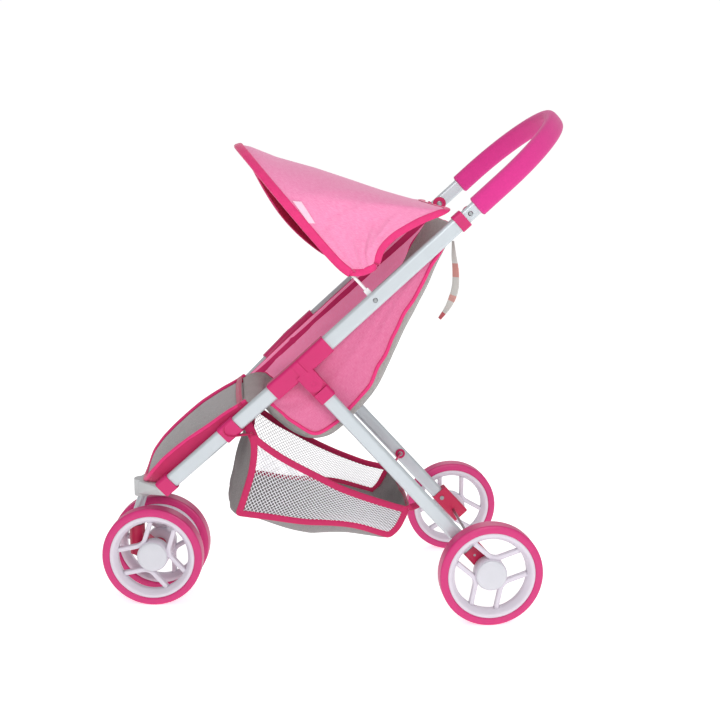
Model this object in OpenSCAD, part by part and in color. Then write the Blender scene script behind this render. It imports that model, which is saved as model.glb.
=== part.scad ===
// Three-wheeled doll stroller: flat-oval tube frame, folding rear legs, swivelling twin front wheels,
// sling seat, hood on a folding bow and a net basket. X is across, the front is toward -Y, Z is up.
// Side pieces are drawn on the left, which is +X, and mirrored for the right.

/* [Wheels] */
// Outside diameter of every wheel
wheel_d = 130; // [110:1:156]
// Width of a tyre
tyre_w = 22; // [16:0.5:27]
// Radial thickness of a tyre
tyre_t = 10; // [7:0.5:12]
// Radial depth of the rim inside the tyre
rim_t = 9.5; // [6:0.5:12]
// Radius of the hub and its cap
hub_r = 20; // [15:0.5:24]
// Width of a spoke
spoke_w = 6; // [4:0.5:8]
// Direction of the first spoke pair of a rear wheel
spoke_turn = 19; // [0:1:119]
// Direction of the first spoke pair of a front wheel
front_spoke_turn = 72; // [0:1:119]
// Diameter of the steel axle rods
axle_d = 4; // [3:0.5:6]
// Gap between a wheel and what stands beside it
wheel_gap = 0.8; // [0.5:0.1:2]

/* [Swivel front] */
// Width of the block between the front wheels
block_w = 30.8; // [24:0.2:40]
// Angle that the front wheels are turned from straight ahead
caster_turn = 7.6; // [-30:0.1:30]
// Distance from the swivel axis back to the front axle
caster_trail = 26; // [20:0.5:34]
// Diameter of the steering tube
steer_d = 13; // [10:0.5:16]
// Lean of the upper part of the steering tube
steer_lean = 20; // [10:1:26]
// Height of the lower tubes' ends above the front wheels
head_clear = 31.4; // [28:0.2:45]
// Distance from the lower tubes' ends forward to the swivel axis
head_reach = 39; // [34:1:50]

/* [Frame] */
// Distance between the middles of the two side tubes
frame_w = 220; // [180:1:264]
// Slope of the upper tubes and the handle
tube_slope = 42; // [38:0.5:46]
// Distance from the side joint's middle to the rear axle
leg_len = 348; // [320:1:420]
// How much further out each leg stands at the axle than at the joint
leg_splay = 11; // [0:0.5:16]
// Slope of the lower tubes
lower_slope = 43.4; // [40:0.2:48]
// Angle at which each lower tube runs inward
lower_inset = 13.5; // [8:0.5:18]
// Distance from the side joint's middle to the top of the upper tube
upper_len = 262; // [240:1:310]
// Distance from the side joint's middle to the middle of the handle bar
handle_reach = 443; // [430:1:530]

/* [Tubes] */
// Thickness of the flat tubes, across the stroller
tube_t = 10; // [8:0.5:12]
// Wall of the tubes
tube_wall = 1.2; // [0.8:0.1:1.8]
// Wide side of the upper tubes
upper_tube_w = 20; // [16:0.5:24]
// Wide side of the lower tubes
lower_tube_w = 19.5; // [16:0.5:24]
// Wide side of the rear legs
leg_w = 18; // [15:0.5:20]
// Wall of the foam grip
grip_wall = 4.3; // [3:0.1:6]
// Length of the foam on the handle's left arm, below the bend
grip_left = 47; // [8:1:50]
// Length of the foam on the handle's right arm, below the bend
grip_right = 20; // [8:1:50]

/* [Mouldings] */
// Length of the side joint along the tubes
joint_len = 90; // [80:1:110]
// Wide side of the side joint
joint_w = 23.2; // [22.5:0.1:28]
// Thickness of the side joint, across the stroller
joint_t = 16; // [14.5:0.5:20]
// Distance from the tubes' middle down to the folding pivot
fold_drop = 24; // [23.5:0.5:30]
// Length of the leg's socket, from the tubes' middle
socket_reach = 51; // [48:1:64]
// Thickness of the socket's tongue, between the joint's cheeks
tongue_t = 9; // [6:0.5:10]
// Wall of the bracket at the foot of a leg
bracket_wall = 2; // [1.5:0.5:3]
// How far a bracket reaches up the leg from the axle
bracket_up = 35; // [25:1:50]
// Length of the clip that holds the seat's crossbar
clip_len = 25; // [18:1:30]
// Distance of that clip from the side joint
clip_at = 117; // [105:1:130]
// Length of the cap on a lower tube
cap_len = 19; // [14:1:24]

/* [Hood] */
// Distance from the side joint's middle up to the hood's pivot
hood_at = 122.5; // [110:0.5:135]
// Height of the bow above its pivot
bow_h = 243; // [200:1:290]
// Diameter of the bow's rod
bow_d = 4; // [3:0.5:5]
// Height of the hood's lower corners above the pivot
hood_corner = 45; // [36:1:60]

/* [Seat] */
// Thickness of the padded fabric
cloth_t = 3; // [2:0.5:4]
// Depth of the seat below the tubes
seat_depth = 87; // [60:1:95]
// Thickness of the leg rest
legrest_t = 9; // [6:1:12]
// Rise of the leg rest's middle above the tubes
legrest_arch = 13; // [8:1:20]
// Distance from the side joint down to the leg rest's top edge
legrest_at = 84; // [76:1:90]

/* [Basket] */
// Inside width of the basket
basket_w = 184; // [130:1:188]
// Depth of the basket at the front
basket_h = 103; // [70:1:110]
// Length of the basket's floor
basket_len = 196; // [150:1:200]
// Thickness of the basket's cloth
basket_t = 2; // [1:0.5:3]

/* [Clearances] */
// Gap all round a tube in its socket
fit = 0.1; // [0.05:0.05:0.3]
// Gap between pieces that turn or move past each other
play = 0.3; // [0.2:0.05:0.6]
// Gap all round a pin or axle in its bore
running = 0.1; // [0.03:0.01:0.1]

/* [Hidden] */
$fn = 48;
hull_fn = 32;

hot_pink = "#E0257B";
magenta = "#E23C96";
crimson = "#C81A5A";
pale_pink = "#F98FBE";
linen_grey = "#9C9A97";
lacquer = "#D8DEE2";
rim_white = "#E9E5EE";
steel = "#B9BDC0";
net_white = "#ECECEC";

// Tube sections
tube_r = 4.5;
handle_tube_w = upper_tube_w - 2 * tube_wall - 2 * fit;
handle_tube_t = tube_t - 2 * tube_wall - 2 * fit;
handle_tube_r = tube_r - tube_wall - fit;
handle_insert = 45;
moulding_r = 4;

// Places, measured from the rear axle
wheel_r = wheel_d / 2;
joint_y = -leg_len * sin(tube_slope);
joint_z = wheel_r + leg_len * cos(tube_slope);
lower_end_z = wheel_d + head_clear;
lower_end = (joint_z - lower_end_z) / sin(lower_slope);
lower_len = lower_end / cos(lower_inset);
swivel_y = joint_y - lower_end * cos(lower_slope) - head_reach;
head_z = lower_end_z - 12;
front_track = block_w + tyre_w + 2 * wheel_gap;
bracket_t = tube_t + 2 * bracket_wall;
rear_track = frame_w + 2 * leg_splay + bracket_t + tyre_w + 2 * wheel_gap;

// The origin lies on the floor under the middle of the stroller
tyre_round = 5;
wheel_front = caster_trail * cos(caster_turn) - front_track / 2 * sin(abs(caster_turn))
    - (wheel_r - tyre_round) * cos(caster_turn) - (tyre_w / 2 - tyre_round) * sin(abs(caster_turn))
    - tyre_round;
grip_w = handle_tube_w + 2 * grip_wall;
grip_t = handle_tube_t + 2 * grip_wall;
grip_r = 6.5;
handle_back = joint_y + (handle_reach + grip_t / 2 - grip_r) * cos(tube_slope)
    + (grip_w / 2 - grip_r) * sin(tube_slope) + grip_r;
rear_axle_y = -(swivel_y + wheel_front + handle_back) / 2;

// Frames of reference ------------------------------------------------------------------------------

module from_axle() translate([0, rear_axle_y, 0]) children();

module on_side(side) {
    if (side > 0) children();
    else mirror([1, 0, 0]) children();
}

// Local X runs up a tube of this slope, local Z is square to it, and local Y points right
module slope(angle) rotate([angle, 0, 0]) rotate([0, 0, 90]) children();

// The upper tubes' plane, from the middle between the side joints
module tube_plane() from_axle() translate([0, joint_y, joint_z]) slope(tube_slope) children();

// The upper tube of one side, from its side joint's middle
module on_upper(side) on_side(side) tube_plane() translate([0, -frame_w / 2, 0]) children();

// The lower tube of one side: local X runs up, so the tube lies at negative X
module on_lower(side) on_side(side) from_axle() translate([frame_w / 2, joint_y, joint_z])
    slope(lower_slope) rotate([0, 0, -lower_inset]) children();

// The folding pivot of one side: local Z points down the leg, which leans out by its splay
leg_from_pivot = leg_len - fold_drop;
splay_angle = atan(leg_splay / leg_from_pivot);
module on_leg(side) on_upper(side) translate([0, 0, -fold_drop]) rotate([180 - splay_angle, 0, 0])
    children();

// A wheel's own frame: local Z is the axle, pointing out
module rear_wheel_place(side) on_side(side) from_axle() translate([rear_track / 2, 0, wheel_r])
    rotate([0, 90, 0]) children();
module caster_place() from_axle() translate([0, swivel_y, 0]) rotate([0, 0, -caster_turn]) children();
module front_wheel_place(side) caster_place() translate([side * front_track / 2, caster_trail, wheel_r])
    rotate([0, side * 90, 0]) children();

// Shapes that repeat -------------------------------------------------------------------------------

// Rectangle with round corners, about its middle
module rounded(w, h, r) {
    square([w - 2 * r, h], center = true);
    square([w, h - 2 * r], center = true);
    for (x = [-1, 1]) {
        for (y = [-1, 1]) {
            translate([x * (w / 2 - r), y * (h / 2 - r)]) circle(r);
        }
    }
}

// Bar of that section along local X, from a to b
module bar_x(a, b, t, w, r) translate([a, 0, 0]) rotate([90, 0, 90]) linear_extrude(b - a)
    rounded(t, w, r);

module tube_x(a, b, t, w, r, wall) difference() {
    bar_x(a, b, t, w, r);
    bar_x(a - 1, b + 1, t - 2 * wall, w - 2 * wall, r - wall);
}

// Round bar along local X, from a to b
module rod_x(a, b, d) translate([a, 0, 0]) rotate([0, 90, 0]) cylinder(d = d, h = b - a);

// Round hole across the stroller, of one side's upper tube
module across(x, z, d, reach) translate([x, 0, z]) rotate([90, 0, 0])
    cylinder(d = d, h = 2 * reach, center = true);

// Rivet across a tube: its shank, and a head on each end of it
module rivet(from_mid, to_mid, shank_d, head_d, head_h) {
    rotate([90, 0, 0]) translate([0, 0, -to_mid]) cylinder(d = shank_d, h = from_mid + to_mid);
    translate([0, -from_mid, 0]) rotate([90, 0, 0]) cylinder(d1 = head_d, d2 = head_d * 0.6, h = head_h);
    translate([0, to_mid, 0]) rotate([-90, 0, 0]) cylinder(d1 = head_d, d2 = head_d * 0.6, h = head_h);
}

// Side frame ---------------------------------------------------------------------------------------

rivet_d = 3;
rivet_head = 6.4;
rivet_h = 1.4;
handle_rivet_at = upper_len + 14;
socket_depth = 34;

module upper_tube(side) color(lacquer) on_upper(side) difference() {
    tube_x(joint_len / 2 - socket_depth, upper_len, tube_t, upper_tube_w, tube_r, tube_wall);
    across(hood_at, 0, rivet_d, tube_t);
}

module lower_tube(side) color(lacquer) on_lower(side) tube_x(-lower_len, -10, tube_t, lower_tube_w,
    tube_r, tube_wall);

// The side joint: two sleeves that meet at a slight angle, and two cheeks that hold the leg's tongue
cheek_r = 11;
pin_d = 6;
module side_joint(side) color(hot_pink) difference() {
    union() {
        on_upper(side) bar_x(-6, joint_len / 2, joint_t, joint_w, moulding_r);
        on_lower(side) bar_x(-joint_len / 2, 6, joint_t, joint_w, moulding_r);
        on_upper(side) for (face = [-1, 1]) {
            translate([0, face * (joint_t + tongue_t + 2 * play) / 4, 0]) rotate([90, 0, 0])
                linear_extrude((joint_t - tongue_t - 2 * play) / 2, center = true) {
                    translate([-cheek_r, -fold_drop]) square([2 * cheek_r, fold_drop - joint_w / 4]);
                    translate([0, -fold_drop]) circle(cheek_r);
                }
        }
    }
    on_upper(side) {
        bar_x(joint_len / 2 - socket_depth - fit, joint_len, tube_t + 2 * fit, upper_tube_w + 2 * fit,
            tube_r);
        across(0, -fold_drop, pin_d + 2 * running, joint_t);
    }
    on_lower(side) bar_x(-joint_len, -10 + fit, tube_t + 2 * fit, lower_tube_w + 2 * fit, tube_r);
}

collar_len = 13;
collar_wall = 1.6;
module collar(side) color(hot_pink) on_upper(side) difference() {
    bar_x(upper_len + collar_len / 2 - collar_len, upper_len + collar_len / 2, tube_t + 2 * collar_wall,
        upper_tube_w + 2 * collar_wall, moulding_r);
    bar_x(upper_len - collar_len, upper_len + fit, tube_t + 2 * fit, upper_tube_w + 2 * fit, tube_r);
    bar_x(upper_len, upper_len + collar_len, handle_tube_t + 2 * fit, handle_tube_w + 2 * fit,
        handle_tube_r);
}

// Handle: two arms in the upper tubes and a half-round bend between them
bend_r = frame_w / 2;
bend_at = handle_reach - bend_r;
module handle_shape(start_left, start_right, t, w, r) tube_plane() {
    translate([0, -bend_r, 0]) bar_x(start_left, bend_at, t, w, r);
    translate([0, bend_r, 0]) bar_x(start_right, bend_at, t, w, r);
    translate([bend_at, 0, 0]) rotate([0, 0, -90]) rotate_extrude(angle = 180, $fn = 96)
        translate([bend_r, 0]) rounded(t, w, r);
}

module handle_tube() color(lacquer) difference() {
    handle_shape(upper_len - handle_insert, upper_len - handle_insert, handle_tube_t, handle_tube_w,
        handle_tube_r);
    handle_shape(upper_len - handle_insert - 1, upper_len - handle_insert - 1,
        handle_tube_t - 2 * tube_wall, handle_tube_w - 2 * tube_wall, handle_tube_r - tube_wall);
    for (side = [-1, 1]) on_upper(side) across(handle_rivet_at, 0, rivet_d, tube_t);
}

module handle_grip() color(magenta) difference() {
    handle_shape(bend_at - grip_left, bend_at - grip_right, grip_t, grip_w, grip_r);
    handle_shape(bend_at - grip_left - 1, bend_at - grip_right - 1, handle_tube_t + 2 * fit,
        handle_tube_w + 2 * fit, handle_tube_r);
}

module handle_rivets() color(steel) for (side = [-1, 1]) on_upper(side)
    translate([handle_rivet_at, 0, 0]) rivet(handle_tube_t / 2 + fit, handle_tube_t / 2 + 2, rivet_d,
        rivet_head, rivet_h);

// Seat clip round a lower tube, with a spigot that carries the crossbar
clip_wall = 1.6;
crossbar_d = 12;
crossbar_wall = 1.2;
crossbar_end = frame_w / 2 - clip_at * tan(lower_inset) - tube_t / 2 - clip_wall - 2;
spigot_len = 12;
clip_along = clip_at / cos(lower_inset);
clip_y = joint_y - clip_at * cos(lower_slope);
clip_z = joint_z - clip_at * sin(lower_slope);
module seat_clip(side) color(hot_pink) difference() {
    union() {
        on_lower(side) bar_x(-clip_along - clip_len / 2, -clip_along + clip_len / 2,
            tube_t + 2 * clip_wall, lower_tube_w + 2 * clip_wall, moulding_r);
        on_side(side) from_axle() translate([0, clip_y, clip_z])
            rod_x(crossbar_end - spigot_len, crossbar_end + 4, crossbar_d - 2 * crossbar_wall - 2 * fit);
    }
    on_lower(side) bar_x(-lower_len, 0, tube_t + 2 * fit, lower_tube_w + 2 * fit, tube_r);
}

module seat_crossbar() color(lacquer) from_axle() translate([0, clip_y, clip_z]) difference() {
    rod_x(-crossbar_end, crossbar_end, crossbar_d);
    rod_x(-crossbar_end - 1, crossbar_end + 1, crossbar_d - 2 * crossbar_wall);
}

module tube_cap(side) color(hot_pink) on_lower(side) difference() {
    bar_x(-lower_len - fit - clip_wall, -lower_len - fit - clip_wall + cap_len, tube_t + 2 * clip_wall,
        lower_tube_w + 2 * clip_wall, moulding_r);
    bar_x(-lower_len - fit, 0, tube_t + 2 * fit, lower_tube_w + 2 * fit, tube_r);
}

// Front yoke: an arm from each cap to the head, which holds the steering tube
head_h = 22;
head_d = steer_d + 9;
head_y = swivel_y + 9;
arm_h = 17;
arm_t = 9;
cap_face = clip_wall + 2 * fit;
module head(d, h) from_axle() translate([0, head_y, head_z]) cylinder(d = d, h = h, center = true);

module yoke_arm(side) hull() {
    on_lower(side) bar_x(-lower_len - cap_face - 3, -lower_len - cap_face, arm_t, arm_h, moulding_r,
        $fn = hull_fn);
    head(head_d - 4, head_h - 5, $fn = hull_fn);
}

// Steering tube: upright in the caster block, then leaning back into the yoke
steer_foot = wheel_r - 2;
head_over_bend = 36.9;
bend_z = head_z - head_over_bend;
lean_len = 36;
lean_step = 1;
module steering_shape(d) from_axle() translate([0, swivel_y, bend_z]) {
    translate([0, 0, steer_foot - bend_z]) cylinder(d = d, h = bend_z - steer_foot + 1.5 * lean_step);
    rotate([-steer_lean, 0, 0]) translate([0, 0, -lean_step]) cylinder(d = d - lean_step, h = lean_len);
}

module front_yoke() color(lacquer) difference() {
    union() {
        yoke_arm(1);
        yoke_arm(-1);
        head(head_d, head_h);
    }
    steering_shape(steer_d + 2 * fit);
}

bolt_d = 5;
bolt_in = 12;
module steering_tube() color(lacquer) difference() {
    steering_shape(steer_d);
    from_axle() translate([0, swivel_y, steer_foot - 1]) cylinder(d = bolt_d, h = bolt_in + 4);
}

bolt_head_h = 3;
module steering_bolt() color(steel) from_axle() translate([0, swivel_y, steer_foot]) {
    translate([0, 0, -block_floor - 2 * play]) cylinder(d = bolt_d, h = block_floor + 2 * play + bolt_in);
    translate([0, 0, -block_floor - 2 * play - bolt_head_h]) cylinder(d = 2 * bolt_d, h = bolt_head_h);
}

// Rear legs, which fold forward on the side joints' pivots -------------------------------------------

socket_at = cheek_r + 1.5;
socket_end = socket_reach - fold_drop;
leg_in_socket = 13;
leg_start = socket_end - leg_in_socket;
bracket_start = leg_from_pivot - bracket_up;
bracket_end = leg_from_pivot + 15;
leg_end = leg_from_pivot + 6;
bracket_w = leg_w + 2 * bracket_wall + 2;
bracket_shift = 2.5;

// Bar down a leg: local Z is along it, so the section's wide side lies along local X
module bar_z(a, b, t, w, r) translate([0, 0, a]) linear_extrude(b - a) rounded(w, t, r);

module leg_socket(side) color(hot_pink) difference() {
    union() {
        on_upper(side) translate([0, 0, -fold_drop]) rotate([90, 0, 0])
            linear_extrude(tongue_t, center = true) {
                circle(cheek_r);
                translate([-cheek_r, -socket_at - 2]) square([2 * cheek_r, socket_at + 2]);
            }
        on_leg(side) bar_z(socket_at, socket_end, joint_t, 2 * cheek_r, moulding_r);
    }
    on_leg(side) bar_z(leg_start - fit, socket_end + 1, tube_t + 2 * fit, leg_w + 2 * fit, tube_r);
    on_upper(side) across(0, -fold_drop, pin_d, joint_t);
}

module fold_pins() color(steel) for (side = [-1, 1]) on_upper(side) translate([0, 0, -fold_drop])
    rotate([90, 0, 0]) cylinder(d = pin_d, h = joint_t, center = true);

module rear_leg(side) color(lacquer) difference() {
    on_leg(side) difference() {
        bar_z(leg_start, leg_end, tube_t, leg_w, tube_r);
        bar_z(leg_start - 1, leg_end + 1, tube_t - 2 * tube_wall, leg_w - 2 * tube_wall,
            tube_r - tube_wall);
        translate([0, 0, screw_at]) rotate([90, 0, 0]) cylinder(d = screw_d, h = 2 * tube_t,
            center = true);
    }
    axle_line(axle_d + 2 * fit, rear_track / 2, wheel_r);
}

screw_d = 3;
screw_at = bracket_start + 9;
module axle_bracket(side) color(crimson) difference() {
    on_leg(side) translate([bracket_shift, 0, 0]) bar_z(bracket_start, bracket_end, bracket_t, bracket_w,
        3);
    on_leg(side) bar_z(leg_start, leg_end + fit, tube_t + 2 * fit, leg_w + 2 * fit, tube_r);
    axle_line(axle_d, rear_track / 2, wheel_r);
    on_leg(side) translate([0, 0, screw_at]) rotate([90, 0, 0]) cylinder(d = screw_d,
        h = 2 * bracket_t, center = true);
}

module bracket_screws() color(steel) for (side = [-1, 1]) on_leg(side) translate([0, 0, screw_at])
    rotate([90, 0, 0]) {
        cylinder(d = screw_d, h = bracket_t, center = true);
        translate([0, 0, bracket_t / 2]) cylinder(d = 2 * screw_d, h = 1.2);
    }

// Rod across the stroller on the rear axle's line
module axle_line(d, half, z) from_axle() translate([0, 0, z]) rotate([0, 90, 0])
    cylinder(d = d, h = 2 * half, center = true);

nut_t = 1.5;
nut_d = 12;
recess_z = 3;
axle_past = recess_z + nut_t + 1.5;
module push_nut(z) translate([0, 0, z]) difference() {
    cylinder(d = nut_d, h = nut_t);
    translate([0, 0, -1]) cylinder(d = axle_d - 0.2, h = nut_t + 2);
}
module rear_axle() color(steel) {
    axle_line(axle_d, rear_track / 2 + axle_past, wheel_r);
    for (side = [-1, 1]) rear_wheel_place(side) push_nut(recess_z + play);
}

tab_r = 7.5;
tab_t = 1.5;
tab_from_pivot = 206;
module basket_tabs() color(hot_pink) for (side = [-1, 1]) on_leg(side)
    translate([0, -tube_t / 2 - fit, tab_from_pivot]) rotate([90, 0, 0]) cylinder(r = tab_r, h = tab_t);

// Wheels -------------------------------------------------------------------------------------------

rim_outer = wheel_r - tyre_t;
rim_inner = rim_outer - rim_t;
rim_half = tyre_w / 2 - 1.5;
web_half = 5;
hub_back = tyre_w / 2;
hub_front = tyre_w / 2 - 3;
recess_r = nut_d / 2 + 2;
bars_apart = hub_r - spoke_w / 2 - 0.8;

module rim_shape(d_bore, first_spoke) difference() {
    union() {
        rotate_extrude($fn = 96) polygon([[rim_inner, -web_half], [rim_inner, web_half],
            [rim_outer - rim_t / 2, rim_half], [rim_outer, rim_half], [rim_outer, -rim_half],
            [rim_outer - rim_t / 2, -rim_half]]);
        translate([0, 0, -hub_back]) cylinder(r = hub_r, h = hub_back + hub_front);
        translate([0, 0, -web_half + 1]) linear_extrude(2 * web_half - 1) intersection() {
            circle(rim_inner + 1, $fn = 96);
            for (k = [0 : 2]) {
                for (bar = [-1, 1]) {
                    rotate(120 * k + first_spoke) translate([0, bar * bars_apart - spoke_w / 2])
                        square([rim_outer, spoke_w]);
                }
            }
        }
    }
    translate([0, 0, -hub_back - 1]) cylinder(d = d_bore, h = 3 * hub_back);
    translate([0, 0, recess_z]) cylinder(r = recess_r, h = hub_back);
}

module tyre_shape() rotate_extrude($fn = 120) difference() {
    translate([wheel_r - tyre_round, 0]) rounded(2 * tyre_round, tyre_w, tyre_round - 0.01);
    translate([0, -tyre_w]) square([rim_outer, 2 * tyre_w]);
}

cap_lip = 2;
module cap_shape() {
    translate([0, 0, hub_front + 0.05]) cylinder(r = hub_r - 0.6, h = cap_lip - 0.05);
    translate([0, 0, hub_front + cap_lip]) cylinder(r1 = hub_r - 0.6, r2 = hub_r - 3.6, h = 1);
    translate([0, 0, hub_front - 1.4]) cylinder(r = recess_r - fit, h = 1.5);
}

module rear_rim(side) color(rim_white) rear_wheel_place(side)
    rim_shape(axle_d + 2 * running, spoke_turn);
module rear_tyre(side) color(hot_pink) rear_wheel_place(side) tyre_shape();
module rear_cap(side) color(rim_white) rear_wheel_place(side) cap_shape();
module front_rim(side) color(rim_white) front_wheel_place(side)
    rim_shape(axle_d + 2 * running, front_spoke_turn);
module front_tyre(side) color(hot_pink) front_wheel_place(side) tyre_shape();
module front_cap(side) color(rim_white) front_wheel_place(side) cap_shape();

// Caster block: an upright bore for the steering tube and a cross bore for the axle
block_floor = 4;
boss_d = steer_d + 7;
block_top = wheel_r + 33;
block_low = wheel_r - 10;
rib_t = 14;
module caster_block() color(crimson) difference() {
    caster_place() {
        translate([0, 0, steer_foot - play - block_floor]) cylinder(d = boss_d,
            h = block_top - steer_foot + play + block_floor);
        translate([0, caster_trail, wheel_r]) rotate([0, 90, 0]) cylinder(d = 18, h = block_w,
            center = true);
        translate([rib_t / 2, 0, 0]) rotate([0, -90, 0]) linear_extrude(rib_t) polygon([
            [block_low + 4, 0], [wheel_r - 8, caster_trail], [wheel_r + 8, caster_trail],
            [block_top - 6, 2], [block_top - 6, 0]]);
    }
    from_axle() translate([0, swivel_y, steer_foot - play]) cylinder(d = steer_d + 2 * play,
        h = block_top);
    from_axle() translate([0, swivel_y, 0]) cylinder(d = bolt_d + 2 * play, h = block_top);
    caster_place() translate([0, caster_trail, wheel_r]) rotate([0, 90, 0]) cylinder(d = axle_d,
        h = 2 * block_w, center = true);
}

module front_axle() color(steel) {
    caster_place() translate([0, caster_trail, wheel_r]) rotate([0, 90, 0]) cylinder(d = axle_d,
        h = front_track + 2 * axle_past, center = true);
    for (side = [-1, 1]) front_wheel_place(side) push_nut(recess_z + play);
}

// Hood ---------------------------------------------------------------------------------------------

clip_r = 8;
clip_t = 5.6;
post_w = bow_d + 3;
bow_inset = tube_t / 2 + play + clip_t / 2;
bow_half = frame_w / 2 - bow_inset;
bow_turn = bow_h - bow_half;

module hood_frame() tube_plane() translate([hood_at, 0, 0]) children();

// The bow: two upright legs and a half-round top, square to the tubes
module hood_bow() color(lacquer) hood_frame() {
    for (side = [-1, 1]) translate([0, side * bow_half, clip_r - 2]) cylinder(d = bow_d,
        h = bow_turn - clip_r + 2);
    translate([0, 0, bow_turn]) rotate([90, 0, 90]) rotate_extrude(angle = 180, $fn = 96)
        translate([bow_half, 0]) circle(d = bow_d);
}

module hood_clips() color(lacquer) for (side = [-1, 1]) on_upper(side) translate([hood_at, bow_inset, 0])
    difference() {
        union() {
            rotate([90, 0, 0]) cylinder(r = clip_r, h = clip_t, center = true);
            translate([-post_w / 2, -clip_t / 2, 0]) cube([post_w, clip_t, clip_r + 8]);
        }
        translate([0, 0, clip_r - 2 - fit]) cylinder(d = bow_d + 2 * fit, h = clip_r + 8);
        rotate([90, 0, 0]) cylinder(d = rivet_d + 2 * running, h = 2 * clip_t, center = true);
    }

module hood_rivets() color(steel) for (side = [-1, 1]) on_upper(side) translate([hood_at, 0, 0])
    rivet(tube_t / 2, tube_t / 2 + play + clip_t + play, rivet_d, rivet_head, rivet_h);

// The hood's cloth runs from the bow back to the tops of the tubes. Across it goes t from -1 to 1,
// along it goes v from the bow at 0 to the back edge at 1; both edges meet at the lower corners.
hood_t = 2;
hood_gap = bow_d / 2 + 3.5;
hood_across = 28;
hood_along = 10;
back_half = frame_w / 2 - 2;
back_height = tube_t + 12;
// Front edge: up one side, round the bow and down the other
function hood_front(t) = let(side = sign(t), a = abs(t), knee = 0.62, r = bow_half + hood_gap)
    a > knee
    ? [0, side * r, bow_turn + (hood_corner - bow_turn) * (a - knee) / (1 - knee)]
    : [0, side * r * sin(90 * a / knee), bow_turn + r * cos(90 * a / knee)];
// Back edge: along above the tube, down to its top, and across between the two tubes
function hood_back(t) = let(side = sign(t), a = abs(t), knee = 0.45, x = upper_len - hood_at)
    a > knee
    ? let(w = (a - knee) / (1 - knee)) [x * (1 - w) + 26 * w, side * (back_half + 4 * w),
        back_height * (1 - w) + (hood_corner - 8) * w]
    : [x - 6 * cos(90 * a / knee), side * back_half * sin(90 * a / knee) ,
        back_height + 8 * cos(90 * a / knee)];
function hood_point(t, v) = hood_front(t) * (1 - v) + hood_back(t) * v;
// The sheet's own thickness is set across it, along the line from its middle axis
function outward(p) = let(q = [0.35 * bow_h, p[1], p[2] - 0.2 * bow_h]) q / norm(q);
function hood_grid(lift) = [for (i = [0 : hood_across]) for (j = [0 : hood_along])
    let(p = hood_point(-1 + 2 * i / hood_across, j / hood_along)) p + outward(p) * lift];

// A four-sided face as two triangles
function face(a, b, c, d, up) = up ? [[a, b, c], [a, c, d]] : [[a, c, b], [a, d, c]];

module hood_fabric() color(pale_pink) hood_frame() {
    n = (hood_across + 1) * (hood_along + 1);
    row = hood_along + 1;
    inner = [for (i = [0 : hood_across - 1]) for (j = [0 : hood_along - 1])
        each face(i * row + j, (i + 1) * row + j, (i + 1) * row + j + 1, i * row + j + 1, true)];
    outer = [for (i = [0 : hood_across - 1]) for (j = [0 : hood_along - 1])
        each face(n + i * row + j, n + (i + 1) * row + j, n + (i + 1) * row + j + 1,
            n + i * row + j + 1, false)];
    front = [for (i = [0 : hood_across - 1])
        each face(i * row, n + i * row, n + (i + 1) * row, (i + 1) * row, true)];
    back = [for (i = [0 : hood_across - 1])
        each face(i * row + hood_along, (i + 1) * row + hood_along, n + (i + 1) * row + hood_along,
            n + i * row + hood_along, true)];
    left = [for (j = [0 : hood_along - 1]) each face(j, j + 1, n + j + 1, n + j, true)];
    last = hood_across * row;
    right = [for (j = [0 : hood_along - 1])
        each face(last + j, n + last + j, n + last + j + 1, last + j + 1, true)];
    polyhedron(concat(hood_grid(0), hood_grid(hood_t)), concat(inner, outer, front, back, left, right));
}

// Seat ---------------------------------------------------------------------------------------------

// Outline of a band of this thickness along a line, with mitred corners
function square_to(a, b) = let(d = b - a) [-d[1], d[0]] / norm(d);
function mitre(line, i) = let(last = len(line) - 1, a = square_to(line[max(i, 1) - 1], line[max(i, 1)]),
    b = square_to(line[min(i, last - 1)], line[min(i, last - 1) + 1])) (a + b) / (1 + a * b);
function band(line, t) = let(last = len(line) - 1) concat(
    [for (i = [0 : last]) line[i] + mitre(line, i) * t / 2],
    [for (i = [0 : last]) line[last - i] - mitre(line, last - i) * t / 2]);

side_x = frame_w / 2 - tube_t / 2 - clip_t - 2 * play - rivet_h - 1;
panel_t = cloth_t;
sling_half = side_x - panel_t - play;
// The sling's line in the tubes' plane, from the top down to the front edge: distance along, depth
sling_line = [[upper_len - 4, -6], [upper_len - 31, -0.16 * seat_depth], [181, -0.42 * seat_depth],
    [110, -0.7 * seat_depth], [42, -0.97 * seat_depth], [12, -seat_depth], [-18, -0.97 * seat_depth],
    [-45, -0.84 * seat_depth], [-60, -0.6 * seat_depth], [-76, -0.32 * seat_depth]];

panel_top = [[-68, -15], [8, -15], [22, 2], [upper_len - 6, 2]];

// Side panel: between the tube's middle and the sling
module seat_side(side) color(pale_pink) on_side(side) tube_plane() translate([0, -side_x, 0])
    rotate([90, 0, 0]) mirror([0, 0, 1]) linear_extrude(panel_t)
        polygon(concat([for (p = sling_line) p - [0, panel_t / 2]], panel_top));

module seat_sling() color(linen_grey) tube_plane() rotate([90, 0, 0])
    linear_extrude(2 * sling_half, center = true) polygon(band(sling_line, panel_t));

// Leg rest: a pad between the lower tubes, narrowing towards the front
legrest_rise = crossbar_d / 2 + 0.6 + legrest_t / 2;
legrest_end = lower_end + 6;
legrest_gap = tube_t / 2 + clip_wall + 1.2;
function between_tubes(l) = frame_w / 2 - l * tan(lower_inset) - legrest_gap;
legrest_top_r = 8;
legrest_low_r = 20;
module legrest_corner(side, l, r) translate([-l, side * (between_tubes(l) - r / cos(lower_inset))])
    circle(r, $fn = hull_fn);
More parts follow.
